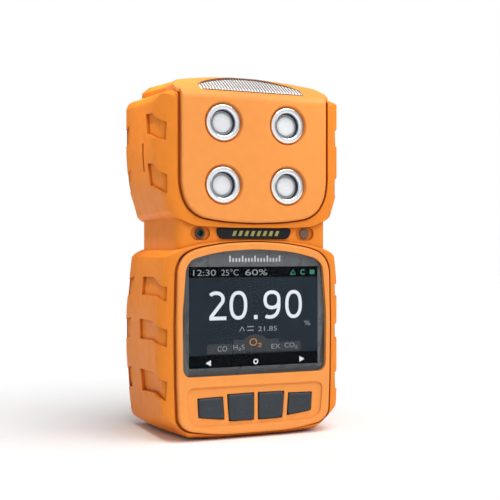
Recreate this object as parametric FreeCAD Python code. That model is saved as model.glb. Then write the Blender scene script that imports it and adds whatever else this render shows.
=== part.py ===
import FreeCAD, Part
import math
import os

# Portable four-gas detector. Millimetres, +Z up, the front faces -Y.
# The origin is the middle of the flat foot that the case stands on.

HALF_W = 35.4
Y_FACE = -23.0
Y_RIM = -21.6
Y_WAIST = -20.4
Y_SPLIT = 6.0
Y_BACK = 23.0
WALL = 2.4
FRONT_IN = -19.2
BACK_IN = 20.6
CORNER_FRONT = 3.6
CORNER_BACK = 2.4
SIDE_ROUND = 6.5
SKIN_CUT = 1.0

WAIST_HALF = 29.0
FOOT_HALF = 14.0

# right half outlines as (x, z), from the bottom up
LOWER_HALF = [(FOOT_HALF, 0.0), (27.5, 2.6), (32.2, 5.8), (34.1, 15.0), (HALF_W, 28.0),
              (HALF_W, 44.0), (33.3, 63.5)]
LOWER_OUTER = [(FOOT_HALF, 0.0), (28.6, 1.1), (33.2, 3.4), (34.5, 15.0), (HALF_W, 28.0),
               (HALF_W, 44.0), (33.3, 63.5)]
# three points of the facet that takes off each front bottom corner
FACET = [(34.6, -16.0, 9.4), (26.4, -16.0, 2.2), (34.8, 22.0, 2.6)]
HEAD_HALF = [(32.0, 80.6), (34.4, 88.0), (HALF_W, 100.0), (HALF_W, 116.6), (33.6, 119.8),
             (27.0, 122.8)]
# the shoulders, which stand higher than the cavity behind them and rise to the rear
SHOULDER = [(HALF_W, 118.4), (34.2, 120.8), (27.0, 123.0)]
SHOULDER_RISE = 2.2
BLOCK_HALF_W = 29.6
BLOCK_CORNER_Z = 124.4
BLOCK_REAR_RISE = 2.2
TOP_Z = 129.6
Y_COVER_BACK = -9.0
Y_BLOCK_BACK = 20.8

# the sloped front of the top block: from (Y_FACE, SLOPE_Z) rising to the rear
SLOPE_Z = 121.2
SLOPE_RISE = 8.3
SLOPE_RUN = 13.0
BROW_ROUND = 4.0

PORT_X = 12.4
PORT_Z = (111.3, 89.4)
SENSOR_R = 10.0

# grip pockets in the side walls, as (y, z) corners
GRIP_POCKETS = [
    [(-5.0, 115.1), (-12.6, 114.6), (-20.3, 110.6), (-20.1, 104.4), (-12.6, 106.4), (-6.4, 107.9)],
    [(-5.9, 97.4), (-12.2, 97.0), (-20.4, 92.6), (-20.4, 86.0), (-13.6, 87.9), (-7.0, 89.5)],
    [(3.2, 56.7), (-9.8, 56.9), (-20.4, 53.7), (-20.2, 48.6), (-14.0, 50.4), (2.6, 50.2)],
    [(3.2, 41.4), (-12.4, 41.6), (-20.4, 39.0), (-20.3, 33.0), (-11.4, 34.8), (2.6, 34.2)],
    [(3.3, 23.2), (-12.8, 23.5), (-20.4, 21.1), (-20.1, 14.4), (-10.8, 16.2), (2.9, 15.2)],
]
REAR_POCKETS = [
    [(16.3, 113.6), (22.2, 112.4), (22.2, 105.8), (16.9, 107.2)],
    [(16.3, 96.8), (22.2, 95.6), (22.2, 88.2), (16.9, 89.4)],
    [(14.6, 56.6), (22.2, 55.2), (22.2, 48.6), (15.0, 50.2)],
    [(14.2, 41.4), (22.2, 40.0), (22.2, 32.6), (14.6, 34.2)],
    [(14.6, 22.8), (22.2, 21.4), (22.2, 13.8), (15.2, 15.2)],
]

BUTTONS = {
    "button_left": [(-21.6, 8.3), (-12.2, 7.1), (-12.8, 14.9), (-22.0, 14.7)],
    "button_power": [(-10.2, 6.4), (-0.9, 6.3), (-0.9, 15.7), (-10.9, 15.6)],
    "button_ok": [(0.9, 6.3), (10.2, 6.4), (10.9, 15.6), (0.9, 15.7)],
    "button_right": [(12.2, 7.1), (21.6, 8.3), (22.0, 14.7), (12.8, 14.9)],
}
BUTTON_GAP = 0.2

LCD_Z = (21.2, 64.5)
LIT_Z = (25.1, 60.6)
LIT_HALF = 25.0

SCREW_XZ = [(-28.2, 14.0), (28.2, 14.0), (-29.4, 104.0), (29.4, 104.0)]
CLIP_PIVOT = (28.2, 93.0)
COVER_SCREW_Z = (83.4, 100.35, 115.8)
PORT_PIVOT = (22.15, 13.7)


# ---- small helpers ----

def box(x0, x1, y0, y1, z0, z1):
    return Part.makeBox(x1 - x0, y1 - y0, z1 - z0, FreeCAD.Vector(x0, y0, z0))


def cyl_x(radius, x0, x1, y, z):
    return Part.makeCylinder(radius, x1 - x0, FreeCAD.Vector(x0, y, z), FreeCAD.Vector(1, 0, 0))


def cyl_y(radius, y0, y1, x, z):
    return Part.makeCylinder(radius, y1 - y0, FreeCAD.Vector(x, y0, z), FreeCAD.Vector(0, 1, 0))


def cyl_z(radius, z0, z1, x, y):
    return Part.makeCylinder(radius, z1 - z0, FreeCAD.Vector(x, y, z0))


def ring_y(outer, inner, y0, y1, x, z):
    return cyl_y(outer, y0, y1, x, z).cut(cyl_y(inner, y0 - 1, y1 + 1, x, z))


def both_sides(half):
    return half + [(-x, z) for x, z in reversed(half)]


def face_xz(points, y):
    return Part.Face(Part.makePolygon([FreeCAD.Vector(x, y, z) for x, z in points + points[:1]]))


def prism_y(points, y0, y1):
    return face_xz(points, y0).extrude(FreeCAD.Vector(0, y1 - y0, 0))


def smooth_face(points, y, cap=60.0, limits=None):
    """A face whose corners are rounded as widely as their two sides allow.

    cap is the largest radius, and limits gives a smaller one to single corners.
    """
    limits = limits or {}
    corners = []
    count = len(points)
    for i in range(count):
        before = FreeCAD.Vector(points[i - 1][0], y, points[i - 1][1])
        here = FreeCAD.Vector(points[i][0], y, points[i][1])
        after = FreeCAD.Vector(points[(i + 1) % count][0], y, points[(i + 1) % count][1])
        into = here.sub(before)
        out = after.sub(here)
        turn = into.getAngle(out)
        room = 0.48 * min(into.Length, out.Length)
        reach = min(room, limits.get(i, cap) * math.tan(turn / 2))
        into.normalize()
        out.normalize()
        start = here.sub(into * reach)
        end = here.add(out * reach)
        bisector = out.sub(into)
        if turn < 0.01 or reach < 0.02:
            corners.append((here, None, here))
            continue
        radius = reach / math.tan(turn / 2)
        bisector.normalize()
        depth = radius / math.cos(turn / 2) - radius
        corners.append((start, here.add(bisector * depth), end))
    edges = []
    for i in range(count):
        start, middle, end = corners[i]
        if middle is not None:
            edges.append(Part.Arc(start, middle, end).toShape())
        following = corners[(i + 1) % count][0]
        if end.distanceToPoint(following) > 1e-6:
            edges.append(Part.makeLine(end, following))
    return Part.Face(Part.Wire(edges))


def smooth_prism(points, y0, y1, cap=60.0, limits=None, rise=0.0):
    return smooth_face(points, y0, cap, limits).extrude(FreeCAD.Vector(0, y1 - y0, rise))


def prism_x(points, x0, x1):
    corners = [FreeCAD.Vector(x0, y, z) for y, z in points + points[:1]]
    return Part.Face(Part.makePolygon(corners)).extrude(FreeCAD.Vector(x1 - x0, 0, 0))


def along_y(edge):
    first = edge.Vertexes[0].Point
    last = edge.Vertexes[-1].Point
    return abs(first.x - last.x) < 1e-6 and abs(first.z - last.z) < 1e-6


def edges_at_y(shape, y):
    found = []
    for edge in shape.Edges:
        if all(abs(v.Point.y - y) < 1e-6 for v in edge.Vertexes):
            if edge.BoundBox.YLength < 1e-6:
                found.append(edge)
    return found


def soften(points, y0, y1, front=0.0, back=0.0, limits=None, rise=0.0):
    """A prism along Y with a smooth outline and rounded front and back rims.

    rise is how much higher the rear outline lies than the front one.
    """
    solid = smooth_prism(points, y0, y1, 60.0, limits, rise)
    if front:
        solid = solid.makeFillet(front, edges_at_y(solid, y0))
    if back:
        solid = solid.makeFillet(back, edges_at_y(solid, y1))
    return solid


def group(shapes):
    return Part.makeCompound(shapes)


def slope_z(y):
    return SLOPE_Z + (y - Y_FACE) * SLOPE_RISE / SLOPE_RUN


def above_slope(drop=0.0):
    """Everything in front of and above the sloped face, lowered by drop."""
    low = [(Y_FACE - 8, slope_z(Y_FACE - 8) - drop), (16.0, slope_z(16.0) - drop),
           (16.0, 190.0), (Y_FACE - 8, 190.0)]
    return prism_x(low, -40, 40)


def outside_brow():
    """Everything above the sloped face and its rounded meeting with the front."""
    tilt = math.atan2(SLOPE_RISE, SLOPE_RUN)
    reach = BROW_ROUND * math.tan((math.pi / 2 - tilt) / 2)
    low = SLOPE_Z - reach
    middle = math.pi - (math.pi / 2 - tilt) / 2
    arc_mid = FreeCAD.Vector(-40, Y_FACE + BROW_ROUND + BROW_ROUND * math.cos(middle),
                             low + BROW_ROUND * math.sin(middle))
    arc_end = FreeCAD.Vector(-40, Y_FACE + reach * math.cos(tilt), SLOPE_Z + reach * math.sin(tilt))
    start = FreeCAD.Vector(-40, Y_FACE, low)
    far = FreeCAD.Vector(-40, 16.0, slope_z(16.0))
    arc = Part.Arc(start, arc_mid, arc_end).toShape()
    rest = Part.makePolygon([arc_end, far, FreeCAD.Vector(-40, 16.0, 190), FreeCAD.Vector(-40, -31, 190),
                             FreeCAD.Vector(-40, -31, low), start])
    outline = Part.Wire(Part.__sortEdges__([arc] + rest.Edges))
    return Part.Face(outline).extrude(FreeCAD.Vector(80, 0, 0))


def top_outline(half, corner_z, apex, low):
    """The arched outline of the top block as a face at y = 0."""
    a = FreeCAD.Vector(half, 0, low)
    b = FreeCAD.Vector(half, 0, corner_z)
    c = FreeCAD.Vector(half - 2.6, 0, corner_z + 2.3)
    d = FreeCAD.Vector(0, 0, apex)
    e = FreeCAD.Vector(-half + 2.6, 0, corner_z + 2.3)
    f = FreeCAD.Vector(-half, 0, corner_z)
    g = FreeCAD.Vector(-half, 0, low)
    arch = Part.Arc(c, d, e).toShape()
    lines = [Part.makeLine(a, b), Part.makeLine(b, c), arch, Part.makeLine(e, f)]
    lines += [Part.makeLine(f, g), Part.makeLine(g, a)]
    return Part.Face(Part.Wire(lines))


def top_block(half, corner_z, apex, low, y0, y1):
    face = top_outline(half, corner_z, apex, low)
    face.translate(FreeCAD.Vector(0, y0, 0))
    return face.extrude(FreeCAD.Vector(0, y1 - y0, 0))


# ---- case ----

def beyond_facet(side):
    """A large block outside the facet of the right (1) or left (-1) bottom corner."""
    a, b, c = [FreeCAD.Vector(side * x, y, z) for x, y, z in FACET]
    out = b.sub(a).cross(c.sub(a))
    if out.z > 0:
        out = out * -1
    block = box(-60, 60, -60, 60, 0, 30)
    block.Placement = FreeCAD.Placement(a, FreeCAD.Rotation(FreeCAD.Vector(0, 0, 1), out))
    return block


def side_plan(inset):
    """The case's plan with its rounded front corners, pulled in by inset, as a tall block."""
    half = HALF_W - inset
    front = Y_RIM + inset
    radius = SIDE_ROUND - inset
    skew = radius * (1 - math.sqrt(0.5))
    wire = []
    for side in (1, -1):
        start = FreeCAD.Vector(side * half, front + radius, -10)
        middle = FreeCAD.Vector(side * (half - skew), front + skew, -10)
        end = FreeCAD.Vector(side * (half - radius), front, -10)
        wire.append(Part.Arc(start, middle, end).toShape())
    front_line = Part.makeLine(wire[0].Vertexes[-1].Point, wire[1].Vertexes[-1].Point)
    right = Part.makeLine(FreeCAD.Vector(half, 40, -10), wire[0].Vertexes[0].Point)
    left = Part.makeLine(wire[1].Vertexes[0].Point, FreeCAD.Vector(-half, 40, -10))
    back = Part.makeLine(FreeCAD.Vector(-half, 40, -10), FreeCAD.Vector(half, 40, -10))
    outline = Part.Wire(Part.__sortEdges__([right, wire[0], front_line, wire[1], left, back]))
    return Part.Face(outline).extrude(FreeCAD.Vector(0, 0, 170))


def lower_block():
    points = both_sides(LOWER_OUTER + [(30.0, 80.0)])
    ends = {0: 20.0, len(points) - 1: 20.0, 7: 6.0, 8: 6.0}
    block = soften(points, Y_RIM, Y_BACK, CORNER_FRONT, CORNER_BACK, ends)
    block = block.cut([beyond_facet(1), beyond_facet(-1)])
    lid = [(40, 60.8), (33.9, 63.4), (30.4, 66.0), (26.9, 67.2), (20.0, 68.9), (10.0, 69.8)]
    lid = both_sides(lid)
    lid = [p for p in lid if p[0] > 0] + [(0.0, 70.1)] + [p for p in lid if p[0] < 0]
    lid = lid + [(-40, 90.0), (40, 90.0)]
    block = block.cut(smooth_prism(lid, Y_RIM - 5, Y_BACK + 5))
    edges = [e for e in edges_at_y(block, Y_RIM) if e.BoundBox.ZMin > 66.0]
    return block.makeFillet(1.0, edges)


def waist_block():
    points = [(WAIST_HALF, 58.0), (WAIST_HALF, 88.0), (-WAIST_HALF, 88.0), (-WAIST_HALF, 58.0)]
    return soften(points, Y_WAIST, Y_BACK - 1.2, 3.0, 3.6, {0: 5.0, 1: 5.0, 2: 5.0, 3: 5.0})


def head_block():
    points = both_sides([(27.0, 62.0)] + HEAD_HALF[:3] + SHOULDER)
    limits = {0: 6.0, len(points) - 1: 6.0, 4: 3.0, 5: 3.0, 8: 3.0, 9: 3.0}
    block = soften(points, Y_RIM, Y_BACK, CORNER_FRONT, CORNER_BACK, limits, SHOULDER_RISE)
    floor = [(40, 83.0), (32.6, 81.0), (29.6, 78.0), (26.6, 76.6), (22.6, 74.9), (10.0, 74.4)]
    floor = floor + [(-x, z) for x, z in reversed(floor)] + [(-40, 60.0), (40, 60.0)]
    return block.cut(smooth_prism(floor, Y_RIM - 5, Y_BACK + 5))


def case_solid():
    near = top_outline(BLOCK_HALF_W, BLOCK_CORNER_Z, TOP_Z, 112.0)
    far = top_outline(BLOCK_HALF_W, BLOCK_CORNER_Z + BLOCK_REAR_RISE, TOP_Z, 112.0)
    near.translate(FreeCAD.Vector(0, Y_COVER_BACK, 0))
    far.translate(FreeCAD.Vector(0, Y_BLOCK_BACK, 0))
    crown = Part.makeLoft([near.OuterWire, far.OuterWire], True, True)
    rear = [e for e in edges_at_y(crown, Y_BLOCK_BACK) if e.BoundBox.ZMax > 113]
    crown = crown.makeFillet(1.6, rear)
    nose = top_block(BLOCK_HALF_W, BLOCK_CORNER_Z, TOP_Z, 112.0, Y_RIM, Y_COVER_BACK)
    nose = nose.cut(above_slope(1.6))
    case = lower_block().fuse([waist_block(), head_block(), crown, nose])
    return case.removeSplitter().common(side_plan(0.0))


def plan_points(inset):
    """The whole front outline, pulled in by inset."""
    half = LOWER_HALF + [(WAIST_HALF, 66.8), (WAIST_HALF, 77.8)] + HEAD_HALF
    points = both_sides(half)
    face = smooth_face(points, 0.0, 60.0, {0: 20.0, len(points) - 1: 20.0})
    return face.makeOffset2D(-inset) if inset else face


def plan_prism(inset, y0, y1):
    face = plan_points(inset)
    face.translate(FreeCAD.Vector(0, y0, 0))
    return face.extrude(FreeCAD.Vector(0, y1 - y0, 0))


def cavity():
    main = plan_prism(WALL, FRONT_IN, BACK_IN)
    neck = box(-40, 40, FRONT_IN - 1, Y_WAIST + WALL, 66.0, 78.0)
    main = main.cut(neck)
    crown = top_block(BLOCK_HALF_W - 2.4, BLOCK_CORNER_Z - 1.4, TOP_Z - 2.2, 112.0, FRONT_IN, 15.2)
    crown = crown.cut(above_slope(2.6))
    return main.fuse(crown).common(side_plan(WALL))


def grip_pocket_cutter():
    """All the pockets' bars, less what lies deeper than the pockets' floors."""
    core = plan_prism(SKIN_CUT, Y_RIM - 3, Y_BACK + 3).common(side_plan(SKIN_CUT))
    bars = []
    for corners in GRIP_POCKETS + REAR_POCKETS:
        bars.append(prism_x(corners, 28.0, 40.0))
        bars.append(prism_x(corners, -40.0, -28.0))
    return group(bars).cut(core)


def seam_slots():
    """The narrow upright slot on each side of the head."""
    slots = []
    for side in (-1, 1):
        slots.append(box(side * 35.0 - 0.8, side * 35.0 + 0.8, -1.8, -0.2, 94.8, 105.0))
    return slots


def cover_outline():
    half = [(27.9, 121.6), (27.9, 90.0), (27.0, 85.0), (24.6, 80.7), (20.6, 78.0), (12.0, 76.6)]
    return half + [(0.0, 76.1)] + [(-x, z) for x, z in reversed(half)]


def cover_opening():
    """The rim round the cover. It leaves a shadow gap, wider at the sides."""
    half = [(29.1, 121.6), (29.1, 90.0), (28.1, 84.7), (25.4, 80.1), (21.0, 77.4), (12.1, 76.1)]
    return half + [(0.0, 75.6)] + [(-x, z) for x, z in reversed(half)]


def fascia_outline():
    half = [(14.0, 1.7), (25.8, 3.7), (28.9, 6.8), (29.4, 20.0), (29.6, 40.0), (29.2, 59.6),
            (27.8, 63.2), (25.2, 65.7), (20.6, 67.3), (11.0, 68.9)]
    return half + [(0.0, 69.4)] + [(-x, z) for x, z in reversed(half)]


def fascia_opening():
    """The rim round the fascia, with the same kind of shadow gap."""
    half = [(14.0, 1.3), (26.2, 3.1), (29.9, 6.2), (30.4, 20.0), (30.6, 40.0), (30.2, 59.8),
            (28.7, 63.6), (25.8, 66.1), (20.8, 67.7), (11.0, 69.3)]
    return half + [(0.0, 69.8)] + [(-x, z) for x, z in reversed(half)]


def panel(points, y0, y1, grow=0.0):
    """A front panel with softened outline corners. grow widens it for its pocket."""
    square = {i: 0.0 for i, p in enumerate(points) if p[1] > 121.0}
    face = smooth_face(points, y0, 60.0, square)
    if grow:
        face = face.makeOffset2D(grow)
    return face.extrude(FreeCAD.Vector(0, y1 - y0, 0))


def case_bosses():
    bosses = []
    for x, z in SCREW_XZ:
        post = cyl_y(3.1, FRONT_IN - 0.4, BACK_IN + 0.4, x, z)
        side = 1 if x > 0 else -1
        near, far = sorted((x, x + side * 5))
        web = box(near, far, FRONT_IN - 0.4, BACK_IN + 0.4, z - 1.2, z + 1.2)
        room = plan_prism(1.2, FRONT_IN - 0.4, BACK_IN + 0.4).common(side_plan(1.2))
        bosses.append(post.fuse(web).common(room))
    return bosses


def case_screw_holes():
    holes = []
    for x, z in SCREW_XZ:
        holes.append(cyl_y(1.5, -3.0, Y_BACK + 1, x, z))
        holes.append(cyl_y(2.1, -1.0, Y_SPLIT, x, z))
        holes.append(cyl_y(3.0, 19.4, Y_BACK + 1, x, z))
    return holes


def port_recess():
    """The charging port's opening in the back wall, with its cover's shallow seat and pin bore."""
    parts = [box(-8.0, 8.0, 21.3, Y_BACK + 1, 5.3, 14.6)]
    parts.append(box(-4.8, 4.8, BACK_IN - 1, Y_BACK, 7.0, 10.8))
    parts.append(cyl_x(0.35, -9.2, 9.2, PORT_PIVOT[0], PORT_PIVOT[1]))
    return parts


def seal_channel(y0, y1):
    return plan_prism(0.9, y0, y1).cut(plan_prism(1.6, y0 - 1, y1 + 1))


def front_shell(case, inside):
    shell = case.common(box(-50, 50, -40, Y_SPLIT, -5, 150))
    top_front = panel(cover_outline(), Y_FACE - 3, -20.6, 0.3)
    lower_front = panel(fascia_outline(), Y_FACE - 3, -20.6, 0.3)
    nose = top_block(BLOCK_HALF_W + 0.3, BLOCK_CORNER_Z + 3, TOP_Z + 3, 121.4, -26.0, Y_COVER_BACK)
    cuts = [top_front, lower_front, nose]
    cuts.append(panel(cover_opening(), Y_FACE - 3, -20.3))
    cuts.append(panel(fascia_opening(), Y_FACE - 3, -20.3))
    cuts.append(box(-22.0, 22.0, -21.0, -19.0, 80.6, 118.4))
    cuts.append(box(-28.2, 28.2, -21.0, -19.0, 21.0, 65.2))
    cuts.append(box(-23.4, 23.4, -21.0, -19.0, 5.6, 18.2))
    cuts += [cyl_y(1.75, Y_WAIST - 1, -17.5, x, 72.4) for x in (-20.3, 20.3)]
    cuts += seam_slots() + case_screw_holes()
    cuts.append(seal_channel(5.2, Y_SPLIT + 1))
    cuts += sound_recesses()
    cuts.append(nameplate_solid())
    cuts.append(grip_pocket_cutter())
    shell = shell.cut(inside)
    posts = [cyl_y(2.1, -20.0, -15.4, x, 69.4).cut(cyl_y(0.8, -19.6, -15.0, x, 69.4)) for x in (-12, 12)]
    posts = [p.cut(box(-40, 40, -30, Y_WAIST + 1.2, 60, 80)) for p in posts]
    shell = shell.fuse(case_bosses_front() + posts)
    return shell.cut(cuts)


def case_bosses_front():
    return [b.common(box(-50, 50, -19.6, Y_SPLIT, -5, 150)) for b in case_bosses()]


def rear_shell(case, inside):
    shell = case.common(box(-50, 50, Y_SPLIT, 40, -5, 150)).cut(inside)
    bosses = [b.common(box(-50, 50, Y_SPLIT, 21.0, -5, 150)) for b in case_bosses()]
    pegs = [cyl_y(3.2, 17.6, 21.0, 0, z) for z in (62.0, 98.0)]
    cradle = [box(x, x + 2.0, 10.0, 21.0, 68.4, 75.6) for x in (-8.0, -2.4)]
    cradle = [c.cut(cyl_x(3.0, -20, 20, 10.0, 72.0)) for c in cradle]
    rests = [box(x - 1.8, x + 1.8, 7.0, 21.0, 1.0, 6.1) for x in (-8.6, 8.6)]
    shell = shell.fuse(bosses + pegs + cradle + rests)
    cuts = case_screw_holes() + [grip_pocket_cutter()] + port_recess()
    cuts += [cyl_z(0.8, 3.0, 7.0, x, 10.0) for x in (-8.6, 8.6)]
    cuts += [cyl_y(1.25, 17.0, Y_BACK + 1, 0, z) for z in (62.0, 98.0)]
    return shell.cut(cuts)


def case_gasket():
    return seal_channel(5.2, Y_SPLIT)


def sensor_cover():
    tall = [(x, 140.0 if z > 121.0 else z) for x, z in cover_outline()]
    plate = panel(tall, Y_FACE, -20.6)
    rim = [e for e in edges_at_y(plate, Y_FACE) if e.BoundBox.ZMin < 139.0]
    plate = plate.makeFillet(0.8, rim)
    nose = top_block(BLOCK_HALF_W, BLOCK_CORNER_Z, TOP_Z, 121.4, -20.6, Y_COVER_BACK - 0.25)
    hollow = top_block(BLOCK_HALF_W - 2.0, BLOCK_CORNER_Z - 1.4, TOP_Z - 2.2, 100.0, -20.6, Y_COVER_BACK + 1)
    hollow = hollow.cut(above_slope(2.3))
    solid = plate.fuse(nose).cut(hollow).cut(outside_brow()).removeSplitter()
    cuts = []
    for x in (-PORT_X, PORT_X):
        for z in PORT_Z:
            start = FreeCAD.Vector(x, Y_FACE, z)
            cuts.append(Part.makeCone(7.3, 6.8, 1.6, start, FreeCAD.Vector(0, 1, 0)))
            cuts.append(cyl_y(5.0, Y_FACE - 1, -20.0, x, z))
    cuts.append(lens_solid(0.0))
    solid = solid.cut(cuts)
    bosses = [cyl_y(2.4, -20.6, FRONT_IN, 0, z) for z in COVER_SCREW_Z]
    bosses = [b.cut(above_slope(2.3)) for b in bosses]
    solid = solid.fuse(bosses)
    return solid.cut([cyl_y(1.0, -21.8, -18.0, 0, z) for z in COVER_SCREW_Z])


def lens_outline(pull):
    a = FreeCAD.Vector(-20.0 + pull, 0, 123.1 + pull)
    b = FreeCAD.Vector(20.0 - pull, 0, 123.1 + pull)
    c = FreeCAD.Vector(20.0 - pull, 0, 125.2)
    d = FreeCAD.Vector(0, 0, 129.2 - pull)
    e = FreeCAD.Vector(-20.0 + pull, 0, 125.2)
    lines = [Part.makeLine(a, b), Part.makeLine(b, c), Part.Arc(c, d, e).toShape(), Part.makeLine(e, a)]
    return Part.Face(Part.Wire(lines))


def lens_solid(pull):
    face = lens_outline(pull)
    face.translate(FreeCAD.Vector(0, -30.0, 0))
    bar = face.extrude(FreeCAD.Vector(0, 20.5, 0))
    return bar.common(above_slope(2.2)).cut(above_slope(-0.35))


def fascia():
    solid = panel(fascia_outline(), Y_FACE, -20.6)
    rim = [e for e in solid.Edges if abs(e.BoundBox.YMax - Y_FACE) < 1e-6]
    solid = solid.makeFillet(0.8, rim)
    cuts = [window_prism(-24.0, -21.3, 0.05)]
    cuts.append(box(-26.2, 26.2, -22.0, -20.0, 24.0, 61.8))
    cuts.append(keypad_recess())
    for points in BUTTONS.values():
        cuts.append(button_prism(points, -24.0, -20.0, BUTTON_GAP))
    return solid.cut(cuts)


def keypad_recess():
    points = [(22.0, 4.9), (25.4, 7.2), (26.2, 17.2), (24.4, 18.6), (-24.4, 18.6), (-26.2, 17.2),
              (-25.4, 7.2), (-22.0, 4.9)]
    return smooth_prism(points, Y_FACE - 1.0, Y_FACE + 0.6)


# ---- display ----

def window_face(grow):
    half = [(26.0, 22.4), (27.5, 24.4), (27.7, 44.0), (26.4, 60.6), (24.0, 63.4), (14.0, 65.9)]
    points = half + [(0.0, 66.8)] + [(-x, z) for x, z in reversed(half)]
    face = smooth_face(points, 0.0)
    return face.makeOffset2D(grow) if grow else face


def window_prism(y0, y1, grow):
    face = window_face(grow)
    face.translate(FreeCAD.Vector(0, y0, 0))
    return face.extrude(FreeCAD.Vector(0, y1 - y0, 0))


def display_window():
    return window_prism(-22.8, -21.5, 0.0)


def display_mask():
    return window_prism(-21.5, -21.3, 0.0).cut(box(-LIT_HALF, LIT_HALF, -23, -20, LIT_Z[0], LIT_Z[1]))


def display_gasket():
    outer = box(-27.8, 27.8, -20.6, -19.9, 22.0, 63.8)
    return outer.cut(box(-26.0, 26.0, -21, -19, 24.2, 61.6))


def lcd_panel():
    glass = box(-28.0, 28.0, -19.9, -18.2, LCD_Z[0], LCD_Z[1])
    return glass.fuse(box(-25.9, 25.9, -21.25, -19.9, 24.3, 61.5)).removeSplitter()


def backlight_frame():
    tray = box(-28.0, 28.0, -18.2, -15.4, LCD_Z[0], LCD_Z[1])
    return tray.cut(box(-26.8, 26.8, -18.3, -16.2, LCD_Z[0] + 1.2, LCD_Z[1] - 1.2))


def light_guide():
    return box(-26.7, 26.7, -18.2, -16.2, LCD_Z[0] + 1.3, LCD_Z[1] - 1.3)


def lcd_flex():
    pad = box(-8.0, 8.0, -18.6, -18.4, LCD_Z[1], LCD_Z[1] + 0.8)
    drop = box(-8.0, 8.0, -18.6, -15.4, LCD_Z[1] + 0.8, LCD_Z[1] + 1.0)
    tail = box(-8.0, 8.0, -15.6, -15.4, LCD_Z[1] + 1.0, LCD_Z[1] + 5.0)
    return pad.fuse([drop, tail]).removeSplitter()


# ---- keypad ----

def button_prism(points, y0, y1, grow):
    face = face_xz(points, 0.0)
    if grow:
        face = face.makeOffset2D(grow)
    face.translate(FreeCAD.Vector(0, y0, 0))
    return face.extrude(FreeCAD.Vector(0, y1 - y0, 0))


def button_middle(points):
    return sum(p[0] for p in points) / 4.0, sum(p[1] for p in points) / 4.0


def button(points):
    cap = button_prism(points, -23.1, -20.3, 0.0)
    cap = cap.makeFillet(0.9, [e for e in cap.Edges if along_y(e)])
    cap = cap.makeFillet(0.35, edges_at_y(cap, -23.1))
    flange = button_prism(points, -20.5, -19.75, 0.65)
    x, z = button_middle(points)
    return cap.fuse([flange, cyl_y(1.5, -20.0, -18.4, x, z)]).removeSplitter()


def keypad_retainer():
    plate = box(-26.0, 26.0, FRONT_IN, -18.5, 4.9, 19.6)
    plate = plate.common(plan_prism(WALL + 0.3, -25, 0)).common(side_plan(WALL + 0.3))
    cuts = []
    for points in BUTTONS.values():
        x, z = button_middle(points)
        cuts.append(cyl_y(1.9, -20, -18, x, z))
    for x, z in SCREW_XZ[:2]:
        cuts.append(cyl_y(3.3, -20, -15, x, z))
    posts = [cyl_y(1.6, -18.6, -15.4, x, 17.6) for x in (-22.6, 22.6)]
    plate = plate.cut(cuts).fuse(posts)
    return plate.cut([cyl_y(0.8, -18.0, -15.0, x, 17.6) for x in (-22.6, 22.6)])


def button_switches():
    items = []
    for points in BUTTONS.values():
        x, z = button_middle(points)
        body = box(x - 2.3, x + 2.3, -17.1, -15.4, z - 2.3, z + 2.3)
        items.append(body.fuse(cyl_y(1.0, -17.8, -17.0, x, z)))
    return group(items)


# ---- main board ----

def main_board():
    points = [(20.0, 7.0), (24.6, 9.5), (24.6, 20.6), (27.6, 20.6), (27.6, 64.0), (25.8, 66.2),
              (25.8, 77.0)]
    board = prism_y(both_sides(points), -15.4, -13.8)
    holes = [cyl_y(0.9, -16, -13, x, 69.4) for x in (-12, 12)]
    holes += [cyl_y(0.9, -16, -13, x, 17.6) for x in (-22.6, 22.6)]
    return board.cut(holes)


def main_board_parts():
    items = [box(-14, -2, -13.8, -12.3, 38, 50), box(4, 22, -13.8, -11.8, 40, 54)]
    items += [box(-22, -16, -13.8, -12.6, 40, 45), box(-12, -6, -13.8, -12.9, 24, 28)]
    items += [box(6, 12, -13.8, -12.4, 22, 28), box(-24, -16, -13.8, -9.8, 55, 61)]
    items += [cyl_y(2.5, -13.8, -8.8, x, 58.5) for x in (16.0, 22.0)]
    for step in range(8):
        x = -19.0 + step * 5.2
        items.append(box(x, x + 1.6, -13.8, -13.2, 32.0, 32.9))
    items.append(box(18.8, 21.8, -16.1, -15.4, 70.9, 73.9))
    return group(items)


def screw_y(x, z, y_head, head_r, head_h, shaft_r, y_tip):
    """A pan screw driven towards -Y, its head's underside at y_head."""
    head = cyl_y(head_r, y_head, y_head + head_h, x, z)
    arm = head_r * 0.62
    low = y_head + head_h * 0.5
    high = y_head + head_h + 1
    slot = box(x - arm, x + arm, low, high, z - 0.18, z + 0.18)
    cross = box(x - 0.18, x + 0.18, low, high, z - arm, z + arm)
    return head.fuse(cyl_y(shaft_r, y_tip, y_head, x, z)).cut([slot, cross])


def main_board_screws():
    spots = [(-12, 69.4), (12, 69.4), (-22.6, 17.6), (22.6, 17.6)]
    screws = [screw_y(x, z, -13.8, 1.6, 1.0, 0.8, -17.8) for x, z in spots]
    for x in (-8.6, 8.6):
        upright = screw_y(x, -10.0, 7.3, 1.6, 1.0, 0.8, 3.3)
        upright.rotate(FreeCAD.Vector(0, 0, 0), FreeCAD.Vector(1, 0, 0), 90)
        screws.append(upright)
    return group(screws)


def charge_board():
    board = box(-11.0, 11.0, 7.0, 20.4, 6.1, 7.3)
    return board.cut([cyl_z(0.9, 5.0, 8.0, x, 10.0) for x in (-8.6, 8.6)])


def charge_socket():
    shell = box(-4.5, 4.5, 13.0, 20.3, 7.3, 10.5)
    shell = shell.cut(box(-4.1, 4.1, 14.0, 21.0, 7.7, 10.1))
    return shell.fuse(box(-3.3, 3.3, 13.6, 19.0, 8.6, 9.2)).removeSplitter()


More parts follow.
